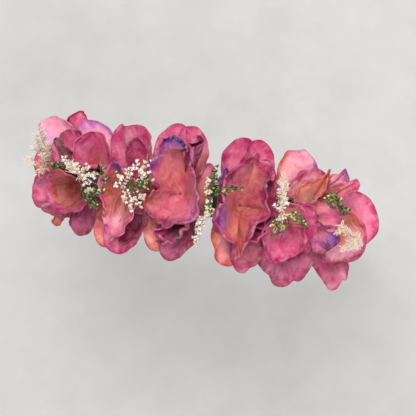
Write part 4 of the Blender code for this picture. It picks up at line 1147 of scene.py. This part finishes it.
def sprinkle_tree():
    """Sets copies of one small piece along lines: each is turned about the line, leaned away
    from it, scattered and sized at random, and carries its own tint."""
    tree, g, given, out = new_tree("sprinkle_along", [
        ("Piece", "NodeSocketObject"), ("Spacing", "NodeSocketFloat"),
        ("Scatter", "NodeSocketFloat"), ("Lean", "NodeSocketFloat"),
        ("Lean Spread", "NodeSocketFloat"), ("Smallest", "NodeSocketFloat"),
        ("Largest", "NodeSocketFloat"), ("Seed", "NodeSocketInt"),
        ("Material", "NodeSocketMaterial")])
    asked = given.outputs

    def chance(low, high, offset, kind="FLOAT"):
        seed = g.math("ADD", asked["Seed"], float(offset))
        node = g.put("FunctionNodeRandomValue", data_type=kind)
        for sockets, value in (("Min", low), ("Max", high)):
            socket = [s for s in node.inputs if s.name == sockets and s.enabled][0]
            if isinstance(value, bpy.types.NodeSocket):
                tree.links.new(value, socket)
            else:
                socket.default_value = value
        tree.links.new(seed, node.inputs["Seed"])
        return [s for s in node.outputs if s.enabled][0]

    curve = g.put("GeometryNodeMeshToCurve", {0: asked["Geometry"]}).outputs[0]
    dots = g.put("GeometryNodeCurveToPoints", {"Curve": curve, "Length": asked["Spacing"]},
                 mode="LENGTH")
    back = g.math("MULTIPLY", asked["Scatter"], -1.0)
    low = g.put("ShaderNodeCombineXYZ", {0: back, 1: back, 2: back}).outputs[0]
    high = g.put("ShaderNodeCombineXYZ", {0: asked["Scatter"], 1: asked["Scatter"],
                                          2: asked["Scatter"]}).outputs[0]
    moved = g.put("GeometryNodeSetPosition", {
        "Geometry": dots.outputs["Points"], "Offset": chance(low, high, 1, "FLOAT_VECTOR")})
    spin = g.put("ShaderNodeCombineXYZ", {2: chance(0.0, math.tau, 2)}).outputs[0]
    lean_low = g.math("SUBTRACT", asked["Lean"], asked["Lean Spread"])
    lean_high = g.math("ADD", asked["Lean"], asked["Lean Spread"])
    lean = g.put("ShaderNodeCombineXYZ", {0: chance(lean_low, lean_high, 3)}).outputs[0]
    turned = g.put("FunctionNodeRotateRotation", {0: dots.outputs["Rotation"], 1: spin},
                   rotation_space="LOCAL").outputs[0]
    leaned = g.put("FunctionNodeRotateRotation", {0: turned, 1: lean},
                   rotation_space="LOCAL").outputs[0]
    piece = g.put("GeometryNodeObjectInfo", {0: asked["Piece"]}).outputs["Geometry"]
    size = chance(asked["Smallest"], asked["Largest"], 4)
    placed = g.put("GeometryNodeInstanceOnPoints", {
        "Points": moved.outputs[0], "Instance": piece, "Rotation": leaned,
        "Scale": size}).outputs[0]
    store = g.put("GeometryNodeStoreNamedAttribute", {"Geometry": placed, "Name": "tint"},
                  data_type="FLOAT", domain="INSTANCE")
    tree.links.new(chance(0.0, 1.0, 5), [s for s in store.inputs
                                         if s.name == "Value" and s.enabled][0])
    real = g.put("GeometryNodeRealizeInstances", {0: store.outputs[0]}).outputs[0]
    tree.links.new(g.put("GeometryNodeSetMaterial", {
        "Geometry": real, "Material": asked["Material"]}).outputs[0], out.inputs[0])
    return tree


def stalk_tree():
    """Round stalks along lines, thinner towards their free ends."""
    tree, g, given, out = new_tree("stalk_along", [
        ("Radius", "NodeSocketFloat"), ("Material", "NodeSocketMaterial")])
    asked = given.outputs
    curve = g.put("GeometryNodeMeshToCurve", {0: asked["Geometry"]}).outputs[0]
    along = g.put("GeometryNodeSplineParameter").outputs["Factor"]
    thick = g.math("SUBTRACT", 1.0, g.math("MULTIPLY", along, 0.6))
    thinned = g.put("GeometryNodeSetCurveRadius", {"Curve": curve, "Radius": thick}).outputs[0]
    ring = g.put("GeometryNodeCurvePrimitiveCircle", {"Resolution": 6,
                                                      "Radius": asked["Radius"]}).outputs[0]
    tube = g.put("GeometryNodeCurveToMesh", {"Curve": thinned, "Profile Curve": ring,
                                             "Scale": thick, "Fill Caps": True}).outputs[0]
    real = g.put("GeometryNodeRealizeInstances", {0: tube}).outputs[0]
    tree.links.new(g.put("GeometryNodeSetMaterial", {
        "Geometry": real, "Material": asked["Material"]}).outputs[0], out.inputs[0])
    return tree


SPRINKLE, STALK = sprinkle_tree(), stalk_tree()


def grow(name, tree, lines, **values):
    """Runs a tree on lines, each a list of points in millimetres, and keeps its plain mesh."""
    points, edges = [], []
    for line in lines:
        start = len(points)
        points += [tuple(p) for p in np.asarray(line) * MM]
        edges += [(start + k, start + k + 1) for k in range(len(line) - 1)]
    guide = bpy.data.meshes.new(name + "_lines")
    guide.from_pydata(points, edges, [])
    source = link(name + "_lines", guide)
    modifier = source.modifiers.new("grow", "NODES")
    modifier.node_group = tree
    sockets = {s.name: s.identifier for s in tree.interface.items_tree
               if s.item_type == "SOCKET" and s.in_out == "INPUT"}
    for label, value in values.items():
        modifier[sockets[label.replace("_", " ")]] = value
    source.update_tag()
    bpy.context.view_layer.update()
    depsgraph = bpy.context.evaluated_depsgraph_get()
    mesh = bpy.data.meshes.new_from_object(source.evaluated_get(depsgraph))
    mesh.name = name
    bpy.data.objects.remove(source)
    mesh.shade_smooth()
    return link(name, mesh)


def small_shape(name, x, y, z, closed=True):
    """A small grid of points, kept out of the scene, that a tree copies."""
    points = np.stack(np.broadcast_arrays(x, y, z), axis=-1)
    cloth = Cloth()
    cloth.add(points, np.zeros(points.shape[:2] + (2,)), np.ones(points.shape), closed=closed)
    obj = cloth.build(name, BUD_GREEN)
    close_up(obj.data)
    obj.data.uv_layers.remove(obj.data.uv_layers[0])
    for label in ("dye", "border"):
        obj.data.attributes.remove(obj.data.attributes[label])
    bpy.context.scene.collection.objects.unlink(obj)
    return obj


def turned_shape(name, radii, heights, sides, lobes=0, lobe_depth=0.0, bend=0.0):
    around = np.linspace(0.0, math.tau, sides, endpoint=False)[None, :]
    r = np.array(radii, float)[:, None]
    h = np.array(heights, float)[:, None] + 0 * around
    r = r * (1.0 + lobe_depth * np.cos(lobes * around))
    if lobes:
        h = h + 0.35 * r * np.cos(lobes * around * 2 + 1.0) * (r > 0.6 * r.max())
    return small_shape(name, r * np.cos(around) + bend * h**2, r * np.sin(around), h)


FLORET = turned_shape("floret", [0.02, 0.25, 0.6, 1.0, 1.05, 0.5], [0.0, 0.1, 0.6, 1.1, 1.3, 0.9],
                      15, 5, 0.22)
BUD = turned_shape("bud", [0.02, 0.46, 0.68, 0.62, 0.36, 0.02], [0.0, 0.3, 0.8, 1.4, 2.0, 2.3], 6,
                   3, 0.12, 0.03)
BARB = turned_shape("barb", [0.02, 0.10, 0.15, 0.17, 0.14, 0.02], [0.0, 0.1, 0.9, 1.8, 2.6, 3.1],
                    5, bend=0.14)
STITCH = turned_shape("stitch", [0.02, 0.16, 0.2, 0.2, 0.16, 0.02],
                      [-1.05, -0.95, -0.4, 0.4, 0.95, 1.05], 6)
FUZZ = turned_shape("fuzz", [0.01, 0.03, 0.025, 0.01], [0.0, 0.1, 0.5, 1.0], 3, bend=0.25)


# ---------------------------------------------------------------- sprigs

# what each kind of twig bears: name, shape, spacing and scatter in mm, lean and its spread in
# radians, smallest and largest scale, and material
BORNE = {"floret": ("florets", FLORET, 0.36, 1.1, 0.9, 0.9, 0.45, 0.9, FLORET_CREAM),
         "bud": ("buds", BUD, 0.36, 1.2, 0.8, 0.8, 0.5, 0.95, BUD_GREEN),
         "barb": ("barbs", BARB, 0.10, 0.7, 0.75, 0.6, 0.4, 1.0, PLUME_CREAM)}


def over_band(x, y, height):
    """The point that shows at x and y on the plan and stands height over the head."""
    k = x / SIGHT
    radius = HEAD + height
    root = (EYE_HEIGHT * k * k) ** 2 - (1 + k * k) * ((EYE_HEIGHT * k) ** 2 - radius**2)
    z = (EYE_HEIGHT * k * k + math.sqrt(max(root, 0.0))) / (1 + k * k)
    return np.array([k * (EYE_HEIGHT - z), y * (EYE_HEIGHT - z) / SIGHT, z])


def sprig(name, stem, twigs, rng, twig_radius=0.28):
    """A stem and the twigs that leave it. stem holds stations along the band, sides and
    heights; a twig is its kind, where it leaves the stem from 0 to 1, and its tip's place on
    the plan and height."""
    main = smooth_line([band_point(along, side, 6.6 + height) for along, side, height in stem], 24)
    lines = {"stalk": [main[:-2]]}
    for kind, leave, x, y, height in twigs:
        start = main[min(22, int(leave * 23))]
        tip = over_band(x, y, height)
        bend = (start + tip) / 2 + rng.uniform(-1.2, 1.2, 3) + unit(start) * 1.0
        line = smooth_line([start, bend, tip], 14)
        lines["stalk"].append(line[:-1])
        lines.setdefault(kind, []).append(line[6 if kind != "barb" else 2:])
    pieces = [(grow(name + "_stalks", STALK, lines["stalk"], Radius=twig_radius * MM,
                    Material=STALK_GREEN if "barb" not in lines else PLUME_CREAM))]
    seed = int(rng.integers(1, 1000))
    for step, (kind, (label, shape, spacing, scatter, lean, spread, small, large,
                      material)) in enumerate(BORNE.items()):
        if kind in lines:
            pieces.append(grow(f"{name}_{label}", SPRINKLE, lines[kind], Piece=shape,
                               Spacing=spacing * MM, Scatter=scatter * MM, Lean=lean,
                               Lean_Spread=spread, Smallest=small, Largest=large,
                               Seed=seed + 20 * step, Material=material))
    for piece in pieces:
        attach(piece, "crown")
        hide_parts(name)


SPRIGS = {
    "plume_1": ([(-70, 0.7, 0), (-72.5, 0.8, 12), (-81, 1.2, 20), (-87, 3, 25)],
                [("barb", 0.8, -92.5, 19, 43), ("barb", 0.75, -94, 15, 41),
                 ("barb", 0.8, -94.5, 9, 40), ("barb", 0.7, -96, 3, 40),
                 ("barb", 0.7, -93, 1, 38), ("barb", 0.7, -89, -2, 36),
                 ("barb", 0.8, -88, 12, 40), ("barb", 0.8, -89, 6, 39), ("bud", 0.7, -82, 2.5, 36),
                 ("bud", 0.7, -79.5, 3, 36)]),
    "plume_2": ([(-53, -3.5, 0), (-53, -3, 15), (-53.5, 0, 26), (-57, 0.5, 31), (-61, 1, 32)],
                [("floret", 0.8, -78, 6.5, 33), ("floret", 0.8, -76, 3.5, 34),
                 ("floret", 0.8, -72, 5.5, 35), ("floret", 0.8, -70, 1, 35),
                 ("floret", 0.8, -66, 4.5, 36), ("floret", 0.8, -62, 1, 36),
                 ("barb", 0.7, -68, -1, 35), ("floret", 0.7, -64, -3, 35),
                 ("barb", 0.8, -74, 5, 35)]),
    "statice_1": ([(-57, -6.5, 0), (-54, -8, 14), (-53, -10.5, 21), (-53, -13, 24)],
                  [("bud", 0.7, -66, -5, 32), ("bud", 0.7, -65, -11, 32),
                   ("bud", 0.8, -61, -13, 32), ("bud", 0.8, -57.5, -13, 32),
                   ("bud", 0.8, -60, -7, 33), ("bud", 0.6, -57, 1, 33), ("bud", 0.6, -58, 6, 32),
                   ("floret", 0.7, -63, -6, 34), ("bud", 0.7, -57, -5, 33)]),
    "statice_2": ([(-29.6, 1, 0), (-29.6, 1, 17), (-30.5, 0, 22), (-31.5, -1, 29),
                   (-32, -2, 33)],
                  [("floret", 0.8, -51, 4, 34), ("floret", 0.8, -51, -2, 34),
                   ("floret", 0.8, -47, 7, 35), ("floret", 0.9, -43, 11, 34),
                   ("floret", 0.8, -38, 12.5, 34), ("floret", 0.9, -45, -4, 35),
                   ("floret", 0.9, -42, -11, 33), ("floret", 0.9, -45.5, -8, 33),
                   ("floret", 0.9, -38, -9, 34), ("floret", 0.9, -36.5, -4, 35),
                   ("floret", 0.9, -37, 7, 35), ("bud", 0.9, -36.5, 1, 37),
                   ("bud", 0.9, -39.5, -1, 37), ("bud", 0.9, -35, 4, 37)]),
    "statice_3": ([(-4.3, 3, 0), (-4.3, 3, 17), (-4, 3, 22), (-3.5, 1.5, 28), (-4, -2, 29)],
                  [("bud", 0.7, 2.5, 7, 34), ("bud", 0.7, -4, 9, 34), ("bud", 0.7, 8.5, 9, 34),
                   ("bud", 0.7, -5, 16, 32), ("bud", 0.8, 0, 5, 35), ("floret", 0.7, -8, 10, 33),
                   ("floret", 0.8, -7, 4, 34), ("floret", 0.9, -5, -2, 33),
                   ("floret", 0.9, -6, -10, 30), ("floret", 0.9, -7.5, -17, 25),
                   ("floret", 0.9, -3.5, -8, 30), ("floret", 0.9, -8, -22, 20),
                   ("bud", 0.9, -4, -5, 34), ("bud", 0.9, -3, 2, 34)]),
    "statice_4": ([(20.7, 1.5, 0), (20.4, 1.5, 17), (21.5, 1, 23), (22.5, 0, 29),
                   (23.5, 2, 32)],
                  [("floret", 0.8, 28, 11, 34), ("floret", 0.8, 31, 8, 35),
                   ("floret", 0.9, 27.5, 3, 34), ("barb", 0.8, 28, 19, 33),
                   ("barb", 0.8, 30.5, 15, 34), ("bud", 0.8, 27, -5, 34),
                   ("bud", 0.8, 32, -9, 34), ("bud", 0.8, 34.5, -4, 35), ("bud", 0.8, 28, -10, 33),
                   ("bud", 0.9, 41, -1, 33), ("bud", 0.9, 44, -3, 32), ("bud", 0.9, 38, 1, 34),
                   ("floret", 0.9, 31, -2, 35)]),
    "bud_sprig": ([(50.5, 4, 0), (50.5, 4, 12), (49.5, 5, 22), (48.5, 8, 27)],
                  [("bud", 0.8, 51, 11, 30), ("bud", 0.8, 54, 14, 29), ("bud", 0.8, 60, 9, 29),
                   ("bud", 0.8, 62, 7, 28), ("bud", 0.8, 56, 10, 30), ("bud", 0.8, 52, 13, 30)]),
    "plume_3": ([(48.5, -3, 0), (48.5, -3.5, 16), (49.5, -3, 25), (52, -4, 30), (55, -7, 31)],
                [("barb", 0.8, 60, 0, 31), ("barb", 0.8, 63.5, -3, 31), ("barb", 0.9, 67, -5, 30),
                 ("barb", 0.9, 68.5, -9, 28), ("barb", 0.9, 65, -8, 30),
                 ("barb", 0.9, 63, -11, 29), ("barb", 0.7, 59, -4, 31)]),
}
for number, (name, (stem, twigs)) in enumerate(SPRIGS.items()):
    sprig(name, stem, twigs, np.random.default_rng(100 + number))

# stitches hold the felt down along both edges, and fibres stand up from it

def rows_along(reach, height, *sides):
    """Lines of points along the band from end to end."""
    return [[band_point(along, side, height) for along in np.linspace(-reach, reach, 90)]
            for side in sides]


stitches = grow("felt_stitches", SPRINKLE, rows_along(86.5, 5.85, -6.9, 6.9), Piece=STITCH,
      Spacing=3.1 * MM, Scatter=0.05 * MM,
                Lean=0.0, Lean_Spread=0.08, Smallest=0.9, Largest=1.05, Seed=7, Material=THREAD)
liner_stitches = grow("liner_stitches", SPRINKLE, rows_along(82.5, -0.02, -3.6, 3.6),
      Piece=STITCH, Spacing=2.8 * MM,
                      Scatter=0.04 * MM, Lean=0.0, Lean_Spread=0.08, Smallest=0.8, Largest=0.95,
                      Seed=8, Material=THREAD)
fuzz = grow("felt_fuzz", SPRINKLE, rows_along(87.5, 5.2, -7.9, -7.7, 7.7, 7.9), Piece=FUZZ,
      Spacing=0.35 * MM, Scatter=0.35 * MM,
            Lean=1.57, Lean_Spread=0.6, Smallest=0.6, Largest=1.4, Seed=9, Material=MOSS_FELT)
for piece, node, slot in ((stitches, "felt_base", "base_felt"), (liner_stitches, "liner", "felt"),
                          (fuzz, "felt_base", "base_felt")):
    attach(piece, "crown")
    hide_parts(node)


# ---------------------------------------------------------------- floor and lights

def area_light(name, place, size, power, colour):
    data = bpy.data.lights.new(name, "AREA")
    data.shape = "DISK"
    data.size = size
    data.energy = power
    data.color = colour
    light = bpy.data.objects.new(name, data)
    bpy.context.scene.collection.objects.link(light)
    light.location = place
    light.rotation_euler = (-Vector(place)).to_track_quat("-Z", "Y").to_euler()


FLOOR_REACH = 6.0       # metres from the middle to an edge
FLOOR_GAP = 0.0005      # metres under the tips
floor_mesh = bpy.data.meshes.new("floor")
floor_mesh.from_pydata([(x * FLOOR_REACH, y * FLOOR_REACH, cad_box[0][2] - FLOOR_GAP)
                        for x, y in ((-1, -1), (1, -1), (1, 1), (-1, 1))], [], [(0, 1, 2, 3)])
pale, g = new_material("pale_floor")
place = g.put("ShaderNodeTexCoord").outputs["Object"]
grain = g.noise(place, 40.0, 4.0, 0.6)
tone = g.mix(g.ramp(grain, 0.3, 0.7), (0.43, 0.425, 0.415, 1.0), (0.47, 0.465, 0.455, 1.0))
finish_material(g, g.put("ShaderNodeBsdfPrincipled", {"Base Color": tone, "Roughness": 0.9}))
floor = link("floor", floor_mesh, pale)

KEY_POWER, FILL_POWER, SKY_STRENGTH = 13.5, 7.3, 0.5
area_light("key_softbox", (-0.18, 0.45, 1.0), 0.8, KEY_POWER, (1.0, 0.985, 0.96))
area_light("fill_softbox", (0.5, -0.5, 0.9), 1.0, FILL_POWER, (0.98, 0.98, 1.0))
world = bpy.data.worlds.new("studio")
bpy.context.scene.world = world
world.use_nodes = True
sky = world.node_tree.nodes["Background"]
sky.inputs["Color"].default_value = (0.95, 0.96, 1.0, 1.0)
sky.inputs["Strength"].default_value = SKY_STRENGTH
